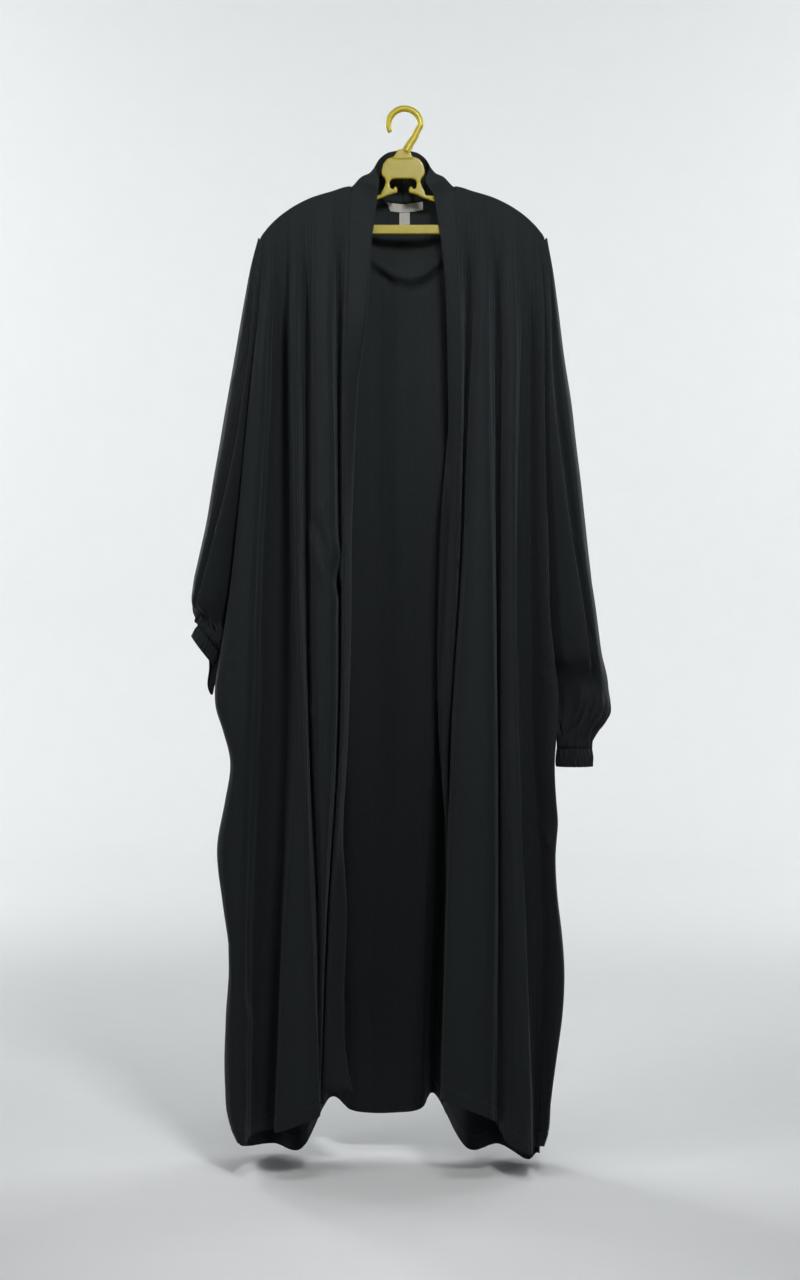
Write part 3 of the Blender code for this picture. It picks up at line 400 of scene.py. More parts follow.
# Slow unevenness of hanging cloth: wave length across and down, phase, height
WAVER = ((61, 420, 0.4, 0.55), (37, 260, 1.9, 0.35), (23, 170, 4.1, 0.22), (88, 140, 2.7, 0.25))
WAVER_SHARE = {"back": 0.4, "front_left": 1.0, "front_right": 1.0, "sleeve": 0.6}
# Millimetres of cloth for each unit of fold place, for the waver and for the hem's puckers
WAVER_SPREAD = 40
PUCKER_SPREAD = 12
# The sheets are smooth this far below the top edge, and rise from their side edges this fast
TOP_SMOOTH = 60
EDGE_RISE = 1.6

# Stitches, in metres: from one to the next, length and half thickness
STITCH_PITCH = 0.0034
STITCH_LONG = 0.0026
STITCH_RADIUS = 0.00026
# The band's columns of points that its two rows of stitches follow
BAND_STITCHED = (1, -3)
# Sleeves: millimetres of cloth in one turn, how high the gathers stand, over how many rows
# they start and rise, and how near its edges and ends a sleeve turns smooth
SLEEVE_SQUASH = 150
CRINKLE_HIGH = {"left": 1.5, "right": 1.7}
CRINKLE_ABOVE = 10
CRINKLE_RISES_OVER = 22
SLEEVE_EDGE = 0.05
SLEEVE_END = 50
SLEEVE_END_AT_CUFF = 30

# Studio: camera, paper cove and lights, in metres
CAMERA = (-0.0036, -3.2, -0.752)
LENS = 62.94
FLOOR = -1.509
COVE = {"floor": 4.4, "floor_rings": 6, "radius": 0.9, "bend_rings": 16, "high": 2.2, "round": 128}
# Softboxes: place, what they face, width, height, watts, colour, spread in degrees
SOFTBOXES = (
    ("key", (0.42, -1.8, 0.6), (0, 0, -0.3), 0.35, 0.4, 9.6, (1.0, 1.0, 1.0), 96),
    ("side left", (-1.25, -1.0, 0.35), (0, 0, -0.15), 0.5, 0.7, 3.2, (1.0, 0.99, 0.98), 100),
    ("side right", (1.25, -1.0, 0.35), (0, 0, -0.15), 0.5, 0.7, 1.0, (0.97, 0.99, 1.0), 100),
    ("cove left", (-3.3, 2.26, 1.3), (-0.6, 5.3, -0.22), 1.8, 3.0, 112, (0.99, 1.0, 1.0), 180),
    ("cove right", (3.4, 2.26, 1.3), (0.8, 5.3, -0.22), 1.8, 3.0, 106, (0.98, 1.0, 1.0), 180),
    ("overhead", (0, -0.9, 1.9), (0, -0.9, -1.5), 0.8, 0.8, 2.6, (1.0, 1.0, 1.0), 50),
    ("back left", (-1.6, 2.2, 0.5), (0, 0, -0.7), 0.5, 0.8, 4, (1.0, 1.0, 1.0), 80),
    ("back right", (1.6, 2.2, 0.5), (0, 0, -0.7), 0.5, 0.8, 1.8, (1.0, 1.0, 1.0), 80),
)
AIR_COLOUR = (0.92, 0.96, 1.0, 1)
AIR_STRENGTH = 0.05


def through(knots, values):
    """A smooth curve through values at rising knots, level beyond both ends."""
    knots = np.asarray(knots, float)
    values = np.asarray(values, float)
    slopes = np.gradient(values, knots, axis=0)

    def at(place):
        place = np.clip(np.asarray(place, float), knots[0], knots[-1])
        left = np.clip(np.searchsorted(knots, place, side="right") - 1, 0, len(knots) - 2)
        span = knots[left + 1] - knots[left]
        s = (place - knots[left]) / span
        shape = s.shape + (1,) * (values.ndim - 1)
        s, span = s.reshape(shape), span.reshape(shape)
        return (
            (2 * s**3 - 3 * s**2 + 1) * values[left]
            + (s**3 - 2 * s**2 + s) * span * slopes[left]
            + (3 * s**2 - 2 * s**3) * values[left + 1]
            + (s**3 - s**2) * span * slopes[left + 1]
        )

    return at


def column(rows, index):
    """One named column of a table, as a curve over the rows' drops."""
    return through([row[0] for row in rows], [row[index] for row in rows])


def ease(share):
    """A share from 0 to 1 that starts and ends slowly."""
    share = np.clip(share, 0, 1)
    return share * share * (3 - 2 * share)


def fade(place, start, over):
    """From 0 at the start to 1 where over is past."""
    return ease((place - start) / over)


def running(steps):
    """How far each place is from the first, by the steps between them."""
    return np.concatenate([[0], np.cumsum(steps)])


def sign_of(side):
    """Which way across is outwards on a side."""
    return -1 if side == "left" else 1


side_line = {"left": column(SIDE_LEFT, 1), "right": column(SIDE_RIGHT, 1)}
side_seam_back = column(SIDE_SEAM_BACK, 1)
shoulder_drop = through(SHOULDER_ACROSS, SHOULDER_DROP)
neck_drop = through(NECK_ACROSS, NECK_DROP)
neck_back = through(NECK_ACROSS, NECK_BACK)


def armhole_half(drop):
    """Half the width of the armhole slit at a drop."""
    share = np.clip((drop - ARMHOLE[0]) / (ARMHOLE[1] - ARMHOLE[0]), 0, 1)
    return ARMHOLE_HALF * np.sqrt(np.sin(math.pi * share))


def back_wider(drop):
    """How much further out the back's edge and its sleeve edge stand at the armhole's top."""
    return BACK_WIDER * (1 - fade(drop, *BACK_WIDER_FADE))


def top_drop(across, is_back):
    """Drop of a panel's top edge: the shoulder line, and the neckline on the back."""
    far = np.abs(across)
    shoulder = shoulder_drop(far)
    return np.where(far < SHOULDER_POINT, neck_drop(far), shoulder) if is_back else shoulder


def cowl_forward(across, drop):
    """How far the back sags forward above its cowl fold, in millimetres."""
    rise = np.where(across < COWL_MIDDLE, COWL_RISE["left"], COWL_RISE["right"])
    fold = COWL_DROP - rise * ((across - COWL_MIDDLE) / COWL_REACH) ** 2
    above = fold - drop
    swell = np.where(above > 0, ease(1 - above / COWL_ABOVE), ease(1 + above / COWL_BELOW))
    near = 1 - fade(np.abs(across), *COWL_FADE)
    return COWL_FORWARD * swell * near


class Panel:
    """A front or back panel: a smooth surface over its fold lines and over height."""

    def __init__(self, folds, is_back):
        self.is_back = is_back
        self.turn = 1 if is_back else -1
        self.lines = folds
        self.base = through(DEPTH_LEVELS, BACK_BASE if is_back else FRONT_BASE)
        sample = np.array([[f[0](d) for f in folds] for d in LEVELS])
        steps = np.hypot(np.diff(sample, axis=1), FOLD_LEAST_STEP).mean(axis=0)
        self.knots = running(np.sqrt(steps))
        self.mix = through(self.knots, np.eye(len(folds)))

    def blend(self, u, of_line):
        """What each fold line gives, mixed at fold places u."""
        mix = self.mix(u)
        return sum(mix[..., k] * of_line(line) for k, line in enumerate(self.lines))

    def across_back(self, u, drop, top):
        """Across and back of the surface at fold places u, at a drop, below a top edge."""
        base = self.base(drop)
        across = self.blend(u, lambda line: line[0](drop))
        fall = base + self.blend(u, lambda line: line[1](drop, base))
        below = drop - top
        radius = (ARM_HALF_THICK + ARM_CLEAR + WALL / 2) / MM
        turned = np.sqrt(np.clip(radius**2 - (radius - np.clip(below, 0, radius)) ** 2, 0, None))
        start = TOP_EDGE_GAP
        if self.is_back:
            at_neck = np.abs(across) < SHOULDER_POINT
            start = np.where(at_neck, neck_back(np.abs(across)), start)
            turned = np.where(at_neck, 0, turned)
            fall = fall - cowl_forward(across, drop) * ease(below / COWL_OPENS_OVER)
        edge = self.turn * (start + turned)
        return across, edge + (fall - edge) * ease(below / FOLDS_OPEN_OVER)

    def top(self, u):
        """Drop of the top edge at fold places u."""
        drop = LEVELS[0]
        for _ in range(TOP_TRIES):
            drop = top_drop(self.blend(u, lambda line: line[0](drop)), self.is_back)
        return drop

    def hem(self, u):
        """Drop of the hem at fold places u."""
        return self.blend(u, lambda line: line[2])


def fold_line(across, depth, hem):
    """A fold line as functions of drop: its place across, and its depth from the base."""
    return (through(LEVELS, across), lambda drop, base, d=through(DEPTH_LEVELS, depth): d(drop), hem)


def deepened(row):
    """A fold line with its valley as deep as it looks."""
    name, across, depth, hem = row
    if "valley" in name:
        depth = tuple(more * d for more, d in zip(VALLEY_DEEPER, depth))
    return fold_line(across, depth, hem)


def side_lines(side, is_back):
    """The fold lines where a panel turns round the side to its side seam."""
    inward = -sign_of(side)
    turn = 1 if is_back else -1

    def corner_across(drop):
        rounding = 1 - fade(drop, *CORNER_FADE)
        return side_line[side](drop) + inward * CORNER_ROUND * rounding

    def edge_depth(drop, base):
        return side_seam_back(drop) + turn * (armhole_half(drop) + SIDE_GAP) - base

    def back_across(drop):
        return side_line[side](drop) - inward * back_wider(drop)

    if is_back:
        return [(back_across, edge_depth, BACK_SIDE_HEM[side])]
    corner = through(DEPTH_LEVELS, CORNER_DEPTH[side])
    hems = CORNER_HEM[side]
    return [
        (corner_across, lambda drop, base: corner(drop), hems[0]),
        (side_line[side], edge_depth, hems[1]),
    ]


def front_panel(side):
    """The front of a side, from its band seam to its side seam."""
    table = FRONT_LEFT if side == "left" else FRONT_RIGHT
    return Panel([deepened(row) for row in table] + side_lines(side, False), False)


def back_panel():
    """The back, from side seam to side seam."""
    middle = [deepened(row) for row in BACK]
    return Panel(side_lines("left", True) + middle + side_lines("right", True), True)


def band_grid(side, panel, neckline):
    """The band from the hem up the front edge, and round the neck to the centre back."""
    table = BAND_LEFT if side == "left" else BAND_RIGHT
    columns = [column(table, k) for k in range(1, 5)]
    start = np.array(0.0)
    top = float(panel.top(start))
    seam_hem, edge_hem = BAND_HEM[side]
    lower = np.linspace(seam_hem, BAND_NEAR_TOP[-1], BAND_ROWS)
    stations = []
    for drop in [*lower, *reversed(BAND_NEAR_TOP[:-1])]:
        roll_across, roll_back, edge_across, edge_back = (float(c(drop)) for c in columns)
        end = np.array(panel.across_back(start, np.array(drop), top))
        seam = (*end, drop)
        roll = (seam[0] + roll_across, seam[1] + roll_back, drop)
        tail = (edge_hem - seam_hem) * fade(drop, BAND_TAIL, seam_hem - BAND_TAIL)
        edge = (roll[0] + edge_across, roll[1] + edge_back, drop + float(tail))
        stations.append((seam, roll, edge))
    collar = []
    for _, seam_across, *ends in COLLAR:
        seam = (seam_across, float(neck_back(seam_across)), float(neck_drop(seam_across)))
        collar.append(tuple((sign_of(side) * p[0], p[1], p[2]) for p in (seam, *ends)))
    across, back, height = neckline.T / MM
    joined = np.array([*stations[-2:], *collar])
    distance = np.linalg.norm(np.diff(joined.mean(axis=1), axis=0), axis=1)
    knots = running(distance)
    bend = through(knots, joined)
    neck = [bend(k) for k in np.linspace(knots[1], knots[-1], COLLAR_ROWS + 1)[1:]]
    for station in neck:
        if abs(station[0, 0]) < SHOULDER_POINT - 1:
            station[0, 1] = np.interp(station[0, 0], across, back)
            station[0, 2] = -np.interp(station[0, 0], across, height)
    across_band = np.linspace(0, 2, BAND_STEPS)
    grid = np.array([through((0, 1, 2), station)(across_band) for station in [*stations, *neck]])
    grid[-1, :, 0] = 0
    grid[:, :, 2] *= -1
    return grid * MM


def cuff_ring(side, share, swell):
    """Points round the cuff's ring. Share 0 is the underarm, and a quarter is the front."""
    middle, outward, _, _ = CUFFS[side]
    angle = 2 * math.pi * share
    outward = np.array(outward) / np.linalg.norm(outward)
    across = -np.cos(angle) * (CUFF_HALF_ACROSS + swell)
    back = -np.sin(angle) * (CUFF_HALF_BACK + swell)
    return np.array(middle) + across[..., None] * outward + back[..., None] * np.array((0.0, 1.0, 0.0))


def sleeve_section(side, row, front, back):
    """The lines round a sleeve at one row of its table, in millimetres."""
    drop, swag_drop, sag_drop, overarm, crest, crest_back, far_back, wedge, tilt = row
    s = sign_of(side)
    body = abs(float(side_line[side](drop)))
    front_edge = edge_at(front, front.knots[-1], drop)
    back_edge = edge_at(back, back.knots[0 if side == "left" else -1], drop)
    free = fade(drop, ARMHOLE[1], UNDERARM_FREES_OVER)
    lap = 1 - fade(drop, *TOP_LAP_FADE)
    inner = body + SLEEVE_CLEAR * free - TOP_LAP * lap
    joined = fade(drop, ARMHOLE[1] - UNDERARM_JOINS_OVER, UNDERARM_JOINS_OVER)
    middle = float(side_seam_back(drop))
    off = SLEEVE_PROUD + TOP_LAP_PROUD * (1 - fade(drop, *TOP_PROUD_FADE))
    front_y = front_edge[1] - off + (middle - UNDERARM_GAP - front_edge[1] + off) * joined
    back_y = back_edge[1] + off + (middle + UNDERARM_GAP - back_edge[1] - off) * joined
    # across and back of each of the SLEEVE_LINES, in their order
    lines = (
        (inner, front_y),
        (inner + (crest - inner) * 0.2, (front_y + crest_back) / 2),
        (crest, crest_back),
        (crest + (overarm - crest) * (0.36 - 0.24 * min(wedge / 12, 1)), crest_back + wedge),
        (crest + (overarm - crest) * 0.66, crest_back + wedge * 0.76),
        (overarm, crest_back * 0.42 + far_back * 0.58),
        (overarm - (overarm - body) * 0.16, far_back * 0.78),
        (body + (overarm - body) * 0.48, far_back),
        (inner + 4, back_y + (far_back - back_y) * 0.62),
        (inner + back_wider(drop), back_y),
    )
    opening = float(ease((table_top(side) + SLEEVE_OPENS_BY - drop) / SLEEVE_OPENS_BY))
    points = []
    for (_, share, swag, sag), (across, back_place) in zip(SLEEVE_LINES, lines):
        start = inner + back_wider(drop) * share
        arc_across = start + (overarm - start) * math.sin(math.pi * share)
        arc_back = front_y + (back_y - front_y) * (1 - math.cos(math.pi * share)) / 2
        across += (arc_across - across) * opening
        back_place += (arc_back - back_place) * opening
        low = drop + (swag_drop - drop) * swag + (sag_drop - drop) * sag
        low += tilt / 2 * math.cos(2 * math.pi * share)
        points.append((s * across, back_place, -low))
    return np.array(points)


def table_top(side):
    """Drop of a sleeve's first row."""
    return (SLEEVE_LEFT if side == "left" else SLEEVE_RIGHT)[0][0]


def edge_at(panel, u, drop):
    """Across and back of a panel's side edge at a drop."""
    u = np.array(u)
    top = float(panel.top(u))
    across, back = panel.across_back(u, np.array(max(float(drop), top + TIP_ROUND)), top)
    return float(across), float(back)


def sleeve_grid(side, front, back):
    """Rows of points from the shoulder tip down to the cuff."""
    table = SLEEVE_LEFT if side == "left" else SLEEVE_RIGHT
    sections = np.array([sleeve_section(side, row, front, back) for row in table])
    round_it = np.array([line[1] for line in SLEEVE_LINES])
    sections[0, :, 2] += TIP_LIFT * np.sin(math.pi * round_it)
    share = np.linspace(0, 1, SLEEVE_COLUMNS)
    mix = through(round_it, np.eye(len(round_it)))(share)
    rings = np.einsum("jk,rkc->rjc", mix, sections) * MM
    sag = np.clip(mix @ np.array([line[3] for line in SLEEVE_LINES]), 0, 1)
    bag = SLEEVE_BAGS[side] * sag
    cuff = cuff_ring(side, share, CUFF_LAP[side])
    along = np.array(CUFFS[side][2])
    step = np.linalg.norm(np.diff(rings, axis=0), axis=2).mean(axis=1)
    knots = running(step)
    to_cuff = np.linalg.norm(cuff - rings[-1], axis=1).mean()
    lead = cuff - along * CUFF_LEAD * (1 - bag)[:, None] + bag[:, None] * BAG_LEAD
    led = to_cuff - CUFF_LEAD
    run = through([*knots, knots[-1] + led, knots[-1] + to_cuff], [*rings, lead, cuff])
    places = []
    for a, b in zip(knots, knots[1:]):
        places += list(np.linspace(a, b, SLEEVE_BETWEEN, endpoint=False))
    places += [*(knots[-1] + np.linspace(0, led, SLEEVE_GATHER_ROWS)), knots[-1] + to_cuff]
    grid = np.array([run(place) for place in places])
    centre = grid[:, :-1].mean(axis=1, keepdims=True)
    outward = grid - centre
    outward /= np.linalg.norm(outward, axis=2, keepdims=True)
    wave = np.cos(2 * math.pi * SLEEVE_GATHERS * share)
    gathered = np.array([fade(place, knots[-2], led) for place in places])
    gathered *= np.array([1 - 0.8 * ease((p - knots[-1] - led / 2) / led * 2) for p in places])
    wave = wave * GATHER_DEPTH[side] * (1 - sag)
    grid += outward * wave[None, :, None] * gathered[:, None, None]
    hold_underarm(grid)
    return grid


def hold_underarm(grid):
    """Holds the two edges of the underarm seam a seam's gap apart."""
    low = grid[:, 0, 2] < -ARMHOLE[1] * MM
    middle = (grid[low, 0] + grid[low, -1]) / 2
    apart = np.array((0.0, UNDERARM_GAP * MM, 0.0))
    grid[low, 0] = middle - apart
    grid[low, -1] = middle + apart


def cuff_grid(side):
    """A ruffled ring, closed on itself."""
    _, _, along, length = CUFFS[side]
    share = np.linspace(0, 1, CUFF_COLUMNS + 1)
    turn = 2 * math.pi * share
    grid = []
    for part in np.linspace(0, 1, CUFF_ROWS + 1):
        wave = np.cos(CUFF_RUFFLES * turn + 1.5 * np.sin(3 * turn + 4 * part))
        wave *= 0.7 + 0.3 * np.sin(5 * turn)
        wave += 0.5 * np.sin(33 * turn + 2 * np.sin(4 * turn + 3 * part))
        swell = RUFFLE_DEPTH * wave * (0.5 + 0.5 * part) + CUFF_BELLY * math.sin(math.pi * part)
        grid.append(cuff_ring(side, share, swell) + np.array(along) * (SEAM + length * part))
    return np.array(grid)


def label_grid(panel, box, slant):
    """Points of the back panel's inside face, moved out from it: left, right, top and bottom."""
    left, right, upper, lower = box
    columns, rows = LABEL_CELLS
    grid = []
    for below in np.linspace(upper, lower, rows + 1):
        share = (below - upper) / (lower - upper)
        line = []
        for across in np.linspace(left + slant * share, right, columns + 1):
            top = float(neck_drop(abs(across)))
            place = place_across(panel, across, top + below)
            line.append((across * MM, place * MM - LABEL_OFF, -(top + below) * MM))
        grid.append(line)
    return np.array(grid)


def place_across(panel, across, drop):
    """Back of a panel where it is at a place across."""
    u = np.linspace(panel.knots[0], panel.knots[-1], PLACE_SAMPLES)
    found, back = panel.across_back(u, np.full(u.shape, float(drop)), panel.top(u))
    return float(np.interp(across, found, back))


def arm_top_drop(across):
    """Drop of the arm's upper edge, just under the cloth and lower beside the neck."""
    slope = float(shoulder_drop(across + 1) - shoulder_drop(across - 1)) / 2
    under_cloth = (ARM_CLEAR + WALL / 2) / MM * math.hypot(1, slope)
    fall = ARM_NECK_FALL * float(ease((ARM_NECK_FADE[0] - across) / ARM_NECK_FADE[1]))
    return float(shoulder_drop(across)) + under_cloth + fall


def plate_outline():
    """Both halves of the plate, with the opening that its accessory hooks leave between its feet."""
    outer = [*PLATE_HALF, (31, 119.5), *reversed(PLATE_FOOT)]
    half = [*outer, *reversed(OPENING_HALF)]
    right = [(PLATE_MIDDLE + x, drop) for x, drop in half]
    left = [(PLATE_MIDDLE - x, drop) for x, drop in reversed(half)]
    return [*right, *left]


def bar_outline():
    """The trouser bar, from arm to arm."""
    upper, lower = BAR_DROP
    near, far = BAR_REACH
    return [(-near, upper), (near, upper), (far, lower), (-far, lower)]


def along_and_off(a, b, path, squash):
    """How far along a path, from 0 to 1, and how far off it, each place (a, b) is."""
    path = np.array(path, float)
    lengths = np.linalg.norm(np.diff(path * (squash, 1), axis=0), axis=1)
    starts = running(lengths)
    best, along = np.full(a.shape, 1e9), np.zeros(a.shape)
    for p, q, start, length in zip(path, path[1:], starts, lengths):
        way = (q - p) * (squash, 1) / length
        off_a, off_b = (a - p[0]) * squash, b - p[1]
        done = np.clip(off_a * way[0] + off_b * way[1], 0, length)
        off = np.hypot(off_a - way[0] * done, off_b - way[1] * done)
        along = np.where(off < best, start + done, along)
        best = np.minimum(off, best)
    return along / starts[-1], best


def crease_height(a, b, creases, squash=1):
    """Height of the sheet over its fine creases, each uneven along its length and fading at both ends."""
    height = np.zeros(a.shape)
    for _, path, half_width, rise in creases:
        along, off = along_and_off(a, b, path, squash)
        wide = half_width * squash * (0.75 + 0.5 * np.sin(math.pi * np.clip(along, 0, 1)))
        fade = np.sin(math.pi * np.clip(along, 0.001, 0.999)) ** 0.6
        uneven = 1 + 0.28 * np.sin(11 * along + rise * 3)
        height += rise * uneven * fade * np.exp(-((off / wide) ** 2)) * (off < 4 * wide)
    return height


def waver(a, b):
    """Slow unevenness over a sheet, in millimetres."""
    return sum(
        high * np.sin(2 * math.pi * a / wide + phase + 0.8 * np.sin(2 * math.pi * b / long + phase))
        for wide, long, phase, high in WAVER
    )


def normals(grid):
    """Unit normals of a grid of points."""
    down = np.gradient(grid, axis=0)
    across = np.gradient(grid, axis=1)
    normal = np.cross(across, down)
    return normal / np.maximum(np.linalg.norm(normal, axis=2, keepdims=True), 1e-12)


def facing(grid, turn):
    """A sheet's unit normals, all towards the back (turn 1) or the front (turn -1)."""
    outward = normals(grid)
    return outward * np.sign(outward[:, :, 1].mean()) * turn


def panel_sheet(panel, name):
    """A front or back panel at full detail: folds, creases, waver and its sewn hem."""
    steps = PANEL_STEPS[name]
    spans = [np.linspace(a, b, steps, endpoint=False) for a, b in zip(panel.knots, panel.knots[1:])]
    u = np.concatenate([*spans, panel.knots[-1:]])
    top, hem = panel.top(u), panel.hem(u)
    start, low = top + TOP_ROWS[-1], hem - HEM_ROWS[0]
    count = int(np.ceil((low - start).max() / ROW_STEP))
    drops = [top + below for below in TOP_ROWS]
    drops += [start + (low - start) * k / count for k in range(1, count)]
    drops += [hem - above for above in HEM_ROWS]
    grid = []
    for drop in drops:
        across, back = panel.across_back(u, drop, top)
        grid.append(np.stack([across, back, -drop], axis=-1))
    grid = np.array(grid)
    outward = facing(grid, panel.turn)
    across, drop = grid[:, :, 0], -grid[:, :, 2]
    height = crease_height(across, drop, CREASES[name])
    below_top, above_hem = drop - top, hem - drop
    height += waver(np.broadcast_to(u * WAVER_SPREAD, across.shape), drop) * WAVER_SHARE[name]
    height *= ease(below_top / TOP_SMOOTH)
    along_hem = np.cumsum(np.gradient(u)) * PUCKER_SPREAD
    height += hem_height(np.broadcast_to(along_hem, across.shape), above_hem)
    edge = np.minimum(u - u[0], u[-1] - u) / (panel.knots[1] - panel.knots[0])
    height *= ease(edge * EDGE_RISE)
    return (grid + outward * height[:, :, None]) * MM


def hem_height(place, above):
    """The turned hem: a little proud below its stitching, puckered along it."""
    proud = HEM_PROUD[0] * ease((HEM_DEEP - above) / HEM_PROUD[1])
    line = HEM_LINE[0] * np.exp(-(((above - HEM_DEEP) / HEM_LINE[1]) ** 2))
    high, middle, reach = HEM_PUCKER
    pucker = high * np.sin(place * 1.9 + 1.3 * np.sin(place * 0.53))
    return proud + line + pucker * np.exp(-(((above - middle) / reach) ** 2))


def placed(name, data):
    """A new object in the scene."""
    made = bpy.data.objects.new(name, data)
    bpy.context.scene.collection.objects.link(made)
    return made


def smooth_mesh(name, points, faces, finish):
    """A smooth-shaded mesh object in one material."""
    mesh = bpy.data.meshes.new(name)
    mesh.from_pydata(points, [], faces)
    mesh.shade_smooth()
    mesh.materials.append(finish)
    return placed(name, mesh)


def lay_uv(mesh, grid):
    """UVs in metres along the cloth's own width and length."""
    wide = np.linalg.norm(np.diff(grid, axis=1), axis=2).mean(axis=0)
    long = np.linalg.norm(np.diff(grid, axis=0), axis=2).mean(axis=1)
    u = running(wide)
    v = running(long)
    layer = mesh.uv_layers.new(name="cloth")
    place = np.stack([np.tile(u, len(v)), -np.repeat(v, len(u))], axis=1)
    corners = np.empty(len(mesh.loops), int)
    mesh.loops.foreach_get("vertex_index", corners)
    layer.data.foreach_set("uv", place[corners].astype(np.float32).ravel())


def cloth_piece(name, grid, finish, thickness):
    """A grid of points as a thin sheet that replaces the CAD node of its name. A cuff is a ring."""
    rows, columns = grid.shape[:2]
    faces = [
        (r * columns + c, r * columns + c + 1, (r + 1) * columns + c + 1, (r + 1) * columns + c)
        for r in range(rows - 1)
        for c in range(columns - 1)
    ]
    piece = smooth_mesh(f"{name}_sheet", grid.reshape(-1, 3).tolist(), faces, finish)
    lay_uv(piece.data, grid)
    if name.startswith("cuff"):
        weld(piece.data)
    wall = piece.modifiers.new("Thickness", "SOLIDIFY")
    wall.thickness = thickness
    wall.offset = 0
    nodes = [name, name.replace("band", "collar")] if name.startswith("band") else [name]
    seat(piece, nodes)
    return piece


def stitches(name, routes, thread):
    """Rows of short raised stitches along routes: each a list of points and the sheet's normals there."""
    points, faces = [], []
    for route, outward in routes:
        lengths = np.linalg.norm(np.diff(route, axis=0), axis=1)
        far = running(lengths)
        count = int(far[-1] / STITCH_PITCH)
        places = (np.arange(count) + 0.5) * STITCH_PITCH
        starts = between(route, far, places - STITCH_LONG / 2)
        ends = between(route, far, places + STITCH_LONG / 2)
        ups = between(outward, far, places)
        ups /= np.linalg.norm(ups, axis=1, keepdims=True)
        for start, end, up in zip(starts, ends, ups):
            way = end - start
            side = np.cross(way, up)
            side *= STITCH_RADIUS / np.linalg.norm(side)
            raised = up * STITCH_RADIUS
            first = len(points)
            points.append(start)
            for share in (0.25, 0.75):
                middle = start + way * share + up * (CREPE_THICK / 2 + STITCH_RADIUS * 0.3)
                points += [middle + side, middle + raised, middle - side, middle - raised]
            points.append(end)
            for k in range(4):
                j = (k + 1) % 4
                faces.append((first, first + 1 + j, first + 1 + k))
                faces.append((first + 1 + k, first + 1 + j, first + 5 + j, first + 5 + k))
                faces.append((first + 9, first + 5 + k, first + 5 + j))
    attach(smooth_mesh(name, np.array(points).tolist(), faces, thread), "root")


def between(values, far, places):
    """Rows of values at places along a route."""
    return np.stack([np.interp(places, far, values[:, k]) for k in range(3)], axis=1)


def sewn_lines(name, grid):
    """Where a sheet is stitched: a panel along its hem, and a band along both of its edges."""
    outward = facing(grid, 1 if name == "back" else -1)
    if name.startswith(("front", "back")):
        row = len(grid) - len(HEM_ROWS) + HEM_ROWS.index(HEM_DEEP)
        faces = (1, -1) if name == "back" else (1,)
        return [(grid[row], outward[row] * face) for face in faces]
    if name.startswith("band"):
        return [(grid[:, place], outward[:, place]) for place in BAND_STITCHED]
    return []


def weld(mesh):
    """Joins the first and last columns of a ring."""
    builder = bmesh.new()
    builder.from_mesh(mesh)
    bmesh.ops.remove_doubles(builder, verts=builder.verts, dist=1e-6)
    builder.to_mesh(mesh)
    builder.free()


def seat(piece, nodes):
    """Ties a piece to the dress, in place of its CAD nodes."""
    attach(piece, "root")
    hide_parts(*nodes)


class Signal:
    """A node's output that takes part in Python expressions."""

    def __init__(self, finish, socket):
        self.finish = finish
        self.socket = socket

    def maths(self, operation, *values):
        return self.finish.node("ShaderNodeMath", {"operation": operation}, dict(enumerate(values)))

    def __add__(self, other):
        return self.maths("ADD", self, other)

    def __sub__(self, other):
        return self.maths("SUBTRACT", self, other)

    def __rsub__(self, other):
        return self.maths("SUBTRACT", other, self)

    def __mul__(self, other):
        return self.maths("MULTIPLY", self, other)

    __radd__ = __add__
    __rmul__ = __mul__


class Finish:
    """A material made of nodes round one Principled shader."""

    def __init__(self, name):
        self.material = bpy.data.materials.new(name)
        self.material.use_nodes = True
        self.tree = self.material.node_tree
        self.shader = self.tree.nodes["Principled BSDF"]

    def node(self, kind, settings=None, values=None, output=0):
        """A node with its settings, then the values or links of its sockets. Returns one output."""
        made = self.tree.nodes.new(kind)
        for key, value in (settings or {}).items():
            setattr(made, key, value)
        for key, value in (values or {}).items():
            self.feed(made.inputs[key], value)
        return Signal(self, made.outputs[output])

    def feed(self, socket, value):
        """Links a signal to a socket, or sets its value."""
        if isinstance(value, Signal):
            self.tree.links.new(value.socket, socket)
        else:
            socket.default_value = value

    def surface(self, **values):
        """Sets the shader's inputs by their names."""
        for key, value in values.items():
            self.feed(self.shader.inputs[key.replace("_", " ")], value)

    def cloth_place(self, wide, long):
        """The cloth's own coordinates, scaled to repeats a metre across and down."""
        place = self.node("ShaderNodeUVMap", {"uv_map": "cloth"})
        return self.node("ShaderNodeVectorMath", {"operation": "MULTIPLY"}, {0: place, 1: (wide, long, 1)})

    def grain(self, place, scale, detail=2.0, roughness=0.5, distortion=0.0):
        """Noise at a place, about 0.5 on average."""
        values = {"Vector": place, "Scale": scale, "Detail": detail, "Roughness": roughness}
        return self.node("ShaderNodeTexNoise", {}, {**values, "Distortion": distortion})

    def object_place(self):
        """The piece's own coordinates, in metres."""
        return self.node("ShaderNodeTexCoord", output=3)

    def mix_colour(self, share, first, second):
        """From the first colour to the second."""
        values = {0: share, 6: (*first, 1), 7: (*second, 1)}
        return self.node("ShaderNodeMix", {"data_type": "RGBA"}, values, 2)

    def relief(self, height, distance, strength):
        """Fine relief of the surface, in metres."""
        bump = self.node("ShaderNodeBump", {}, {"Height": height, "Distance": distance, "Strength": strength})
        self.feed(self.shader.inputs["Normal"], bump)


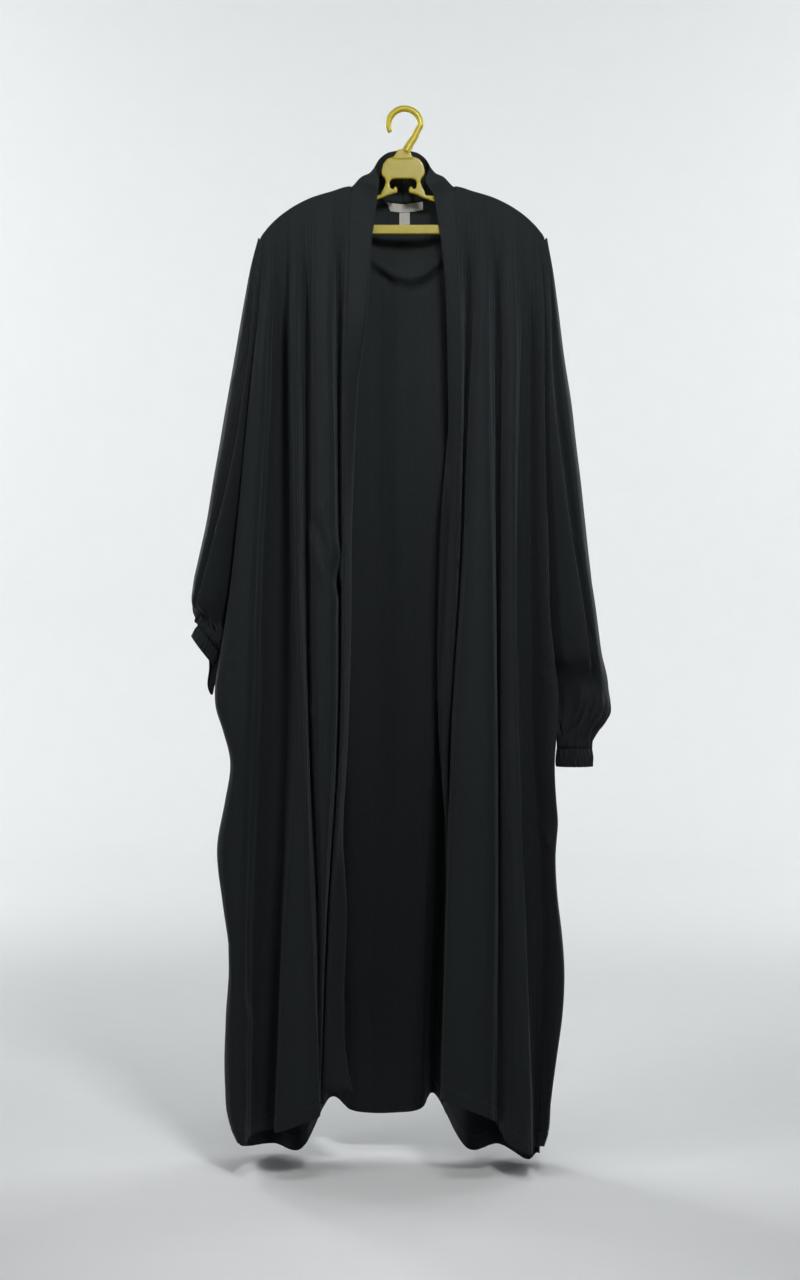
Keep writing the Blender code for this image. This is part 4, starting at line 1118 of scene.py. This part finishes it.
def crepe_finish():
    """Black crepe: crinkled along its length, finely woven, with a faint blue bloom, and painted shade in the
    hollows of its fine relief.
    """
    crepe = Finish("black crepe")
    crinkle = crepe.grain(crepe.cloth_place(620, 210), 1.0, 3.0, 0.6, 0.4)
    mottle = crepe.grain(crepe.cloth_place(230, 120), 1.0, 3.0, 0.6, 0.3)
    pebble = crepe.grain(crepe.cloth_place(1500, 1100), 1.0, 2.0)
    slub = crepe.grain(crepe.cloth_place(24, 5), 1.0, 3.0)
    height = crinkle * 0.5 + pebble * 0.2 + mottle * 0.5
    crepe.relief(height, 0.0012, 0.9)
    # Painted shade: the colour follows the relief's height and is darker in its hollows; the slub adds random
    # tone of the cloth's own.
    light = crinkle * 0.4 + pebble * 0.15 + mottle * 0.35 + slub * 0.2
    crepe.surface(
        Base_Color=crepe.mix_colour((light - 0.3) * 2.0, (0.0044, 0.0062, 0.0069), (0.0100, 0.0132, 0.0146)),
        Roughness=0.88 - crinkle * 0.12,
        Specular_IOR_Level=0.22,
        Sheen_Weight=0.06,
        Sheen_Roughness=0.45,
        Sheen_Tint=(0.80, 0.90, 1.0, 1),
    )
    return crepe.material


def thread_finish():
    """Black sewing thread, a little glossier than the crepe."""
    thread = Finish("black sewing thread")
    twist = thread.grain(thread.object_place(), 2400.0, 1.0)
    thread.surface(
        Base_Color=thread.mix_colour(twist, (0.009, 0.011, 0.012), (0.020, 0.023, 0.025)),
        Roughness=0.5,
        Specular_IOR_Level=0.35,
    )
    return thread.material


def label_finish():
    """White satin-woven label tape."""
    tape = Finish("woven label tape")
    place = tape.cloth_place(1, 1)
    weft = tape.node("ShaderNodeTexWave", {"bands_direction": "Y"}, {"Vector": place, "Scale": 900.0})
    warp = tape.node("ShaderNodeTexWave", {"bands_direction": "X"}, {"Vector": place, "Scale": 700.0})
    wear = tape.grain(place, 160.0, 3.0)
    tape.relief(weft * 0.6 + warp * 0.4, 0.0002, 0.6)
    tape.surface(
        Base_Color=tape.mix_colour(wear, (0.31, 0.30, 0.27), (0.43, 0.42, 0.39)),
        Roughness=0.5 + 0.2 * weft,
        Sheen_Weight=0.2,
    )
    return tape.material


def plastic_finish():
    """Translucent yellow moulded plastic with faint flow marks."""
    plastic = Finish("translucent yellow plastic")
    place = plastic.object_place()
    flow = plastic.grain(place, 60.0, 2.0, 0.5, 1.2)
    speck = plastic.grain(place, 900.0, 2.0)
    plastic.relief(flow * 0.8 + speck * 0.2, 0.0003, 0.35)
    plastic.surface(
        Base_Color=plastic.mix_colour(flow, (0.47, 0.38, 0.010), (0.58, 0.48, 0.02)),
        Roughness=0.28 + 0.14 * speck,
        IOR=1.49,
        Transmission_Weight=0.55,
        Subsurface_Weight=0.35,
        Specular_IOR_Level=0.3,
        Subsurface_Radius=(0.6, 0.5, 0.05),
        Subsurface_Scale=0.01,
        Coat_Weight=0.05,
    )
    return plastic.material


def paper_finish():
    """Pale matt paper with faint fibres."""
    paper = Finish("pale studio paper")
    fibre = paper.grain(paper.object_place(), 14.0, 3.0)
    paper.surface(
        Base_Color=paper.mix_colour(fibre, (0.77, 0.785, 0.79), (0.80, 0.81, 0.815)),
        Roughness=0.9,
        Specular_IOR_Level=0.2,
    )
    return paper.material


def loft(builder, rings):
    """Joins rings of vertices into a closed solid."""
    for near, far in zip(rings, rings[1:]):
        for k in range(len(near)):
            builder.faces.new((near[k - 1], near[k], far[k], far[k - 1]))
    builder.faces.new(rings[0][::-1])
    builder.faces.new(rings[-1])


def tube(builder, route, radii, sides, flatten):
    """A closed tube along a route in the XZ plane, flattened or widened along Y."""
    rings = []
    for k, (across, height) in enumerate(route):
        before, after = route[max(k - 1, 0)], route[min(k + 1, len(route) - 1)]
        way = Vector((after[0] - before[0], 0, after[1] - before[1])).normalized()
        side = Vector((-way.z, 0, way.x))
        ring = []
        for j in range(sides):
            turn = 2 * math.pi * j / sides
            off = side * math.cos(turn) * radii[k]
            off += Vector((0, 1, 0)) * math.sin(turn) * radii[k] * flatten
            ring.append(builder.verts.new((Vector((across, 0, height)) + off) * MM))
        rings.append(ring)
    loft(builder, rings)


def slab(builder, outline, half):
    """A flat outline in the XZ plane, filled and made solid, half a thickness to each side."""
    front, back = (
        [builder.verts.new((x * MM, y * MM, -drop * MM)) for x, drop in outline] for y in (-half, half)
    )
    for face in (front, back):
        edges = [builder.edges.new((face[k - 1], face[k])) for k in range(len(face))]
        bmesh.ops.triangle_fill(builder, use_beauty=True, edges=edges)
    for k in range(len(front)):
        builder.faces.new((front[k - 1], front[k], back[k], back[k - 1]))


def hook_route():
    """The hook's middle line, as across and height: an arc, then the neck down to the plate."""
    (across, height), radius = HOOK_CENTRE, HOOK_RADIUS / MM
    turns = [math.radians(degrees) for degrees in range(*HOOK_ARC)]
    arc = [(across + radius * math.cos(turn), height + radius * math.sin(turn)) for turn in turns]
    neck = through(range(len(NECK) + 1), [arc[-1], *NECK])
    return [*arc, *[tuple(neck(k)) for k in np.linspace(0.3, len(NECK), NECK_POINTS)]]


def arm_shape(builder, side):
    """An arm of the hanger from the plate out to its tip, thinner along its middle."""
    under = through([x for x, _ in ARM_UNDER], [drop for _, drop in ARM_UNDER])
    rings = []
    half, web = ARM_HALF_THICK / MM, ARM_WEB
    for across in np.linspace(*ARM_REACH, ARM_RINGS):
        low = float(under(across))
        top = min(arm_top_drop(across), low - ARM_LEAST)
        deep = low - top
        # half of the section, down one face: upper bead, web and lower bead
        shape = ((web, top), (half, top + 2), (half, top + 3.4), (web, top + 0.30 * deep + 1.6),
                 (web, top + 0.68 * deep), (half, low - 1.8), (half, low))
        ring = [*shape, *[(-back, drop) for back, drop in reversed(shape)]]
        x = sign_of(side) * across * MM
        rings.append([builder.verts.new((x, back * MM, -drop * MM)) for back, drop in ring])
    loft(builder, rings)


def hanger_piece(finish):
    """The hook, plate, arms and bar, melted into one moulding with soft inner corners."""
    builder = bmesh.new()
    route = hook_route()
    share = np.linspace(0, 1, len(route))
    radii = through([s for s, _ in HOOK_RADII], [r for _, r in HOOK_RADII])(share)
    tube(builder, route, radii, HOOK_SIDES, HOOK_FLATTER)
    slab(builder, plate_outline(), PLATE_THICK / MM / 2 - PLATE_SLIMMER)
    slab(builder, bar_outline(), BAR_HALF_THICK / MM)
    for side in ("left", "right"):
        arm_shape(builder, side)
    ridge = [(x + PLATE_MIDDLE, -drop) for x, drop in PLATE_RIDGE]
    tube(builder, ridge, RIDGE_RADII, RIDGE_SIDES, RIDGE_WIDER)
    bmesh.ops.recalc_face_normals(builder, faces=builder.faces)
    mesh = bpy.data.meshes.new("hanger_moulding")
    builder.to_mesh(mesh)
    builder.free()
    melted = placed("hanger_melted", mesh)
    remesh = melted.modifiers.new("Melt", "REMESH")
    remesh.mode = "VOXEL"
    remesh.voxel_size = MOULD_VOXEL
    smooth = melted.modifiers.new("Soften", "SMOOTH")
    smooth.factor = 0.5
    smooth.iterations = 4
    bpy.context.view_layer.update()
    done = bpy.data.meshes.new_from_object(melted.evaluated_get(bpy.context.evaluated_depsgraph_get()))
    bpy.data.objects.remove(melted)
    done.name = "hanger_moulding"
    done.shade_smooth()
    done.materials.clear()
    done.materials.append(finish)
    seat(placed("hanger_moulding", done), ["hanger"])


def studio(finish):
    """The seamless paper cove, the softboxes, the air's fill light and the camera."""
    scene = bpy.context.scene
    flat, radius = COVE["floor"], COVE["radius"]
    flat_rings, bend_rings = COVE["floor_rings"], COVE["bend_rings"]
    profile = [(flat * k / flat_rings, FLOOR) for k in range(1, flat_rings + 1)]
    for k in range(1, bend_rings + 1):
        turn = math.pi / 2 * k / bend_rings
        profile.append((flat + radius * math.sin(turn), FLOOR + radius * (1 - math.cos(turn))))
    profile.append((flat + radius, COVE["high"]))
    around = COVE["round"]
    points = [(0, 0, FLOOR)]
    for out, z in profile:
        points += [(out * math.cos(math.tau * k / around), out * math.sin(math.tau * k / around), z)
                   for k in range(around)]
    faces = [(0, 1 + k, 1 + (k + 1) % around) for k in range(around)]
    for ring in range(len(profile) - 1):
        low, high = 1 + ring * around, 1 + (ring + 1) * around
        faces += [(low + k, high + k, high + (k + 1) % around, low + (k + 1) % around) for k in range(around)]
    smooth_mesh("paper_cove", points, faces, finish)
    for name, place, target, width, height, watts, colour, spread in SOFTBOXES:
        light = bpy.data.lights.new(name, "AREA")
        light.shape = "RECTANGLE"
        light.size, light.size_y = width, height
        light.energy = watts
        light.color = colour
        light.spread = math.radians(spread)
        box = placed(name, light)
        box.location = place
        box.rotation_euler = (Vector(target) - Vector(place)).to_track_quat("-Z", "Y").to_euler()
        box.visible_camera = False
    world = bpy.data.worlds.new("studio air")
    world.use_nodes = True
    background = world.node_tree.nodes["Background"]
    background.inputs["Color"].default_value = AIR_COLOUR
    background.inputs["Strength"].default_value = AIR_STRENGTH
    scene.world = world
    camera = bpy.data.cameras.new("photo camera")
    camera.lens = LENS
    seen_by = placed("photo camera", camera)
    seen_by.location = CAMERA
    seen_by.rotation_euler = (math.pi / 2, 0, 0)
    scene.camera = seen_by
    scene.view_settings.view_transform = "Standard"


def dress(crepe, tape, thread):
    """Every sheet of the dress as a thin piece, with the stitches along its hems and bands."""
    back = back_panel()
    back_grid = panel_sheet(back, "back")
    declared("back", back_grid, crepe)
    sewn = sewn_lines("back", back_grid)
    for side in ("left", "right"):
        front = front_panel(side)
        sheets = {
            f"front_{side}": panel_sheet(front, f"front_{side}"),
            f"band_{side}": band_grid(side, front, back_grid[0]),
            f"sleeve_{side}": sleeve_sheet(side, front, back),
            f"cuff_{side}": cuff_grid(side),
        }
        for name, grid in sheets.items():
            sewn += sewn_lines(name, grid)
            declared(name, grid, crepe)
    for name, box, slant in (("neck_label", LABEL, LABEL_SLANT), ("size_tab", TAB, 0)):
        grid = finer(label_grid(back, box, slant), *LABEL_POINTS)
        declared(name, grid, tape, LABEL_THICK)
    stitches("seam_stitches", sewn, thread)


def declared(name, grid, finish, thickness=CREPE_THICK):
    """One sheet, as a thin piece in place of its CAD nodes."""
    piece = cloth_piece(name, grid, finish, thickness)


def finer(grid, columns, rows):
    """A grid with more rows and columns between its own."""

    def spread(points, count):
        place = np.linspace(0, len(points) - 1, count)
        low = np.minimum(place.astype(int), len(points) - 2)
        share = (place - low)[:, None, None]
        return points[low] * (1 - share) + points[low + 1] * share

    return spread(spread(grid, rows).swapaxes(0, 1), columns).swapaxes(0, 1)


def sleeve_sheet(side, front, back):
    """A sleeve at full detail, with its creases."""
    grid = sleeve_grid(side, front, back)
    share = np.broadcast_to(np.linspace(0, 1, grid.shape[1]), grid.shape[:2])
    drop = -grid[:, :, 2] / MM
    outward = normals(grid)
    centre = grid.mean(axis=1, keepdims=True)
    outward *= np.sign(np.sum(outward * (grid - centre), axis=2).mean())
    height = crease_height(share, drop, SLEEVE_CREASES[side], SLEEVE_SQUASH)
    height += WAVER_SHARE["sleeve"] * waver(share * SLEEVE_SQUASH, drop)
    height += crinkle(share, grid.shape[0]) * CRINKLE_HIGH[side]
    edge = np.minimum(share, 1 - share)
    height *= ease(edge / SLEEVE_EDGE) * ease((drop - drop[:1]) / SLEEVE_END)
    height *= ease((drop[-1:] - drop + SLEEVE_END_AT_CUFF) / SLEEVE_END)
    return pushed(grid + outward * (height * MM)[:, :, None], SLEEVE_PUSHES[side])


def pushed(grid, pushes):
    """A grid with soft pushes: name, middle as (across, drop), reach of each, shift in X, Y and Z."""
    for _, middle, reach, shift in pushes:
        place = (grid[:, :, 0] / MM, -grid[:, :, 2] / MM)
        off = sum(((p - m) / r) ** 2 for p, m, r in zip(place, middle, reach))
        grid = grid + np.exp(-off)[:, :, None] * np.array(shift) * MM
    return grid


def crinkle(share, rows):
    """Uneven gathers of a sleeve's last rows, drawn in by the elastic of its cuff."""
    row = np.arange(rows)[:, None]
    near = ease((row - (rows - SLEEVE_GATHER_ROWS - CRINKLE_ABOVE)) / CRINKLE_RISES_OVER)
    along = (rows - row) * 0.16
    broad = np.sin(2 * math.pi * (9 * share + 0.30 * np.sin(2 * math.pi * 2 * share + along)) + 1.1)
    fine = np.sin(2 * math.pi * (21 * share + 0.45 * np.sin(2 * math.pi * 5 * share + 1.7 * along)) + 2.3)
    pinch = 0.6 + 0.4 * np.sin(2 * math.pi * 3 * share + 2.1 * along)
    return near * (0.9 * broad * pinch + 0.5 * fine)


def main():
    """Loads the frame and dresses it."""
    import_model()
    studio(paper_finish())
    dress(crepe_finish(), label_finish(), thread_finish())
    hanger_piece(plastic_finish())


main()
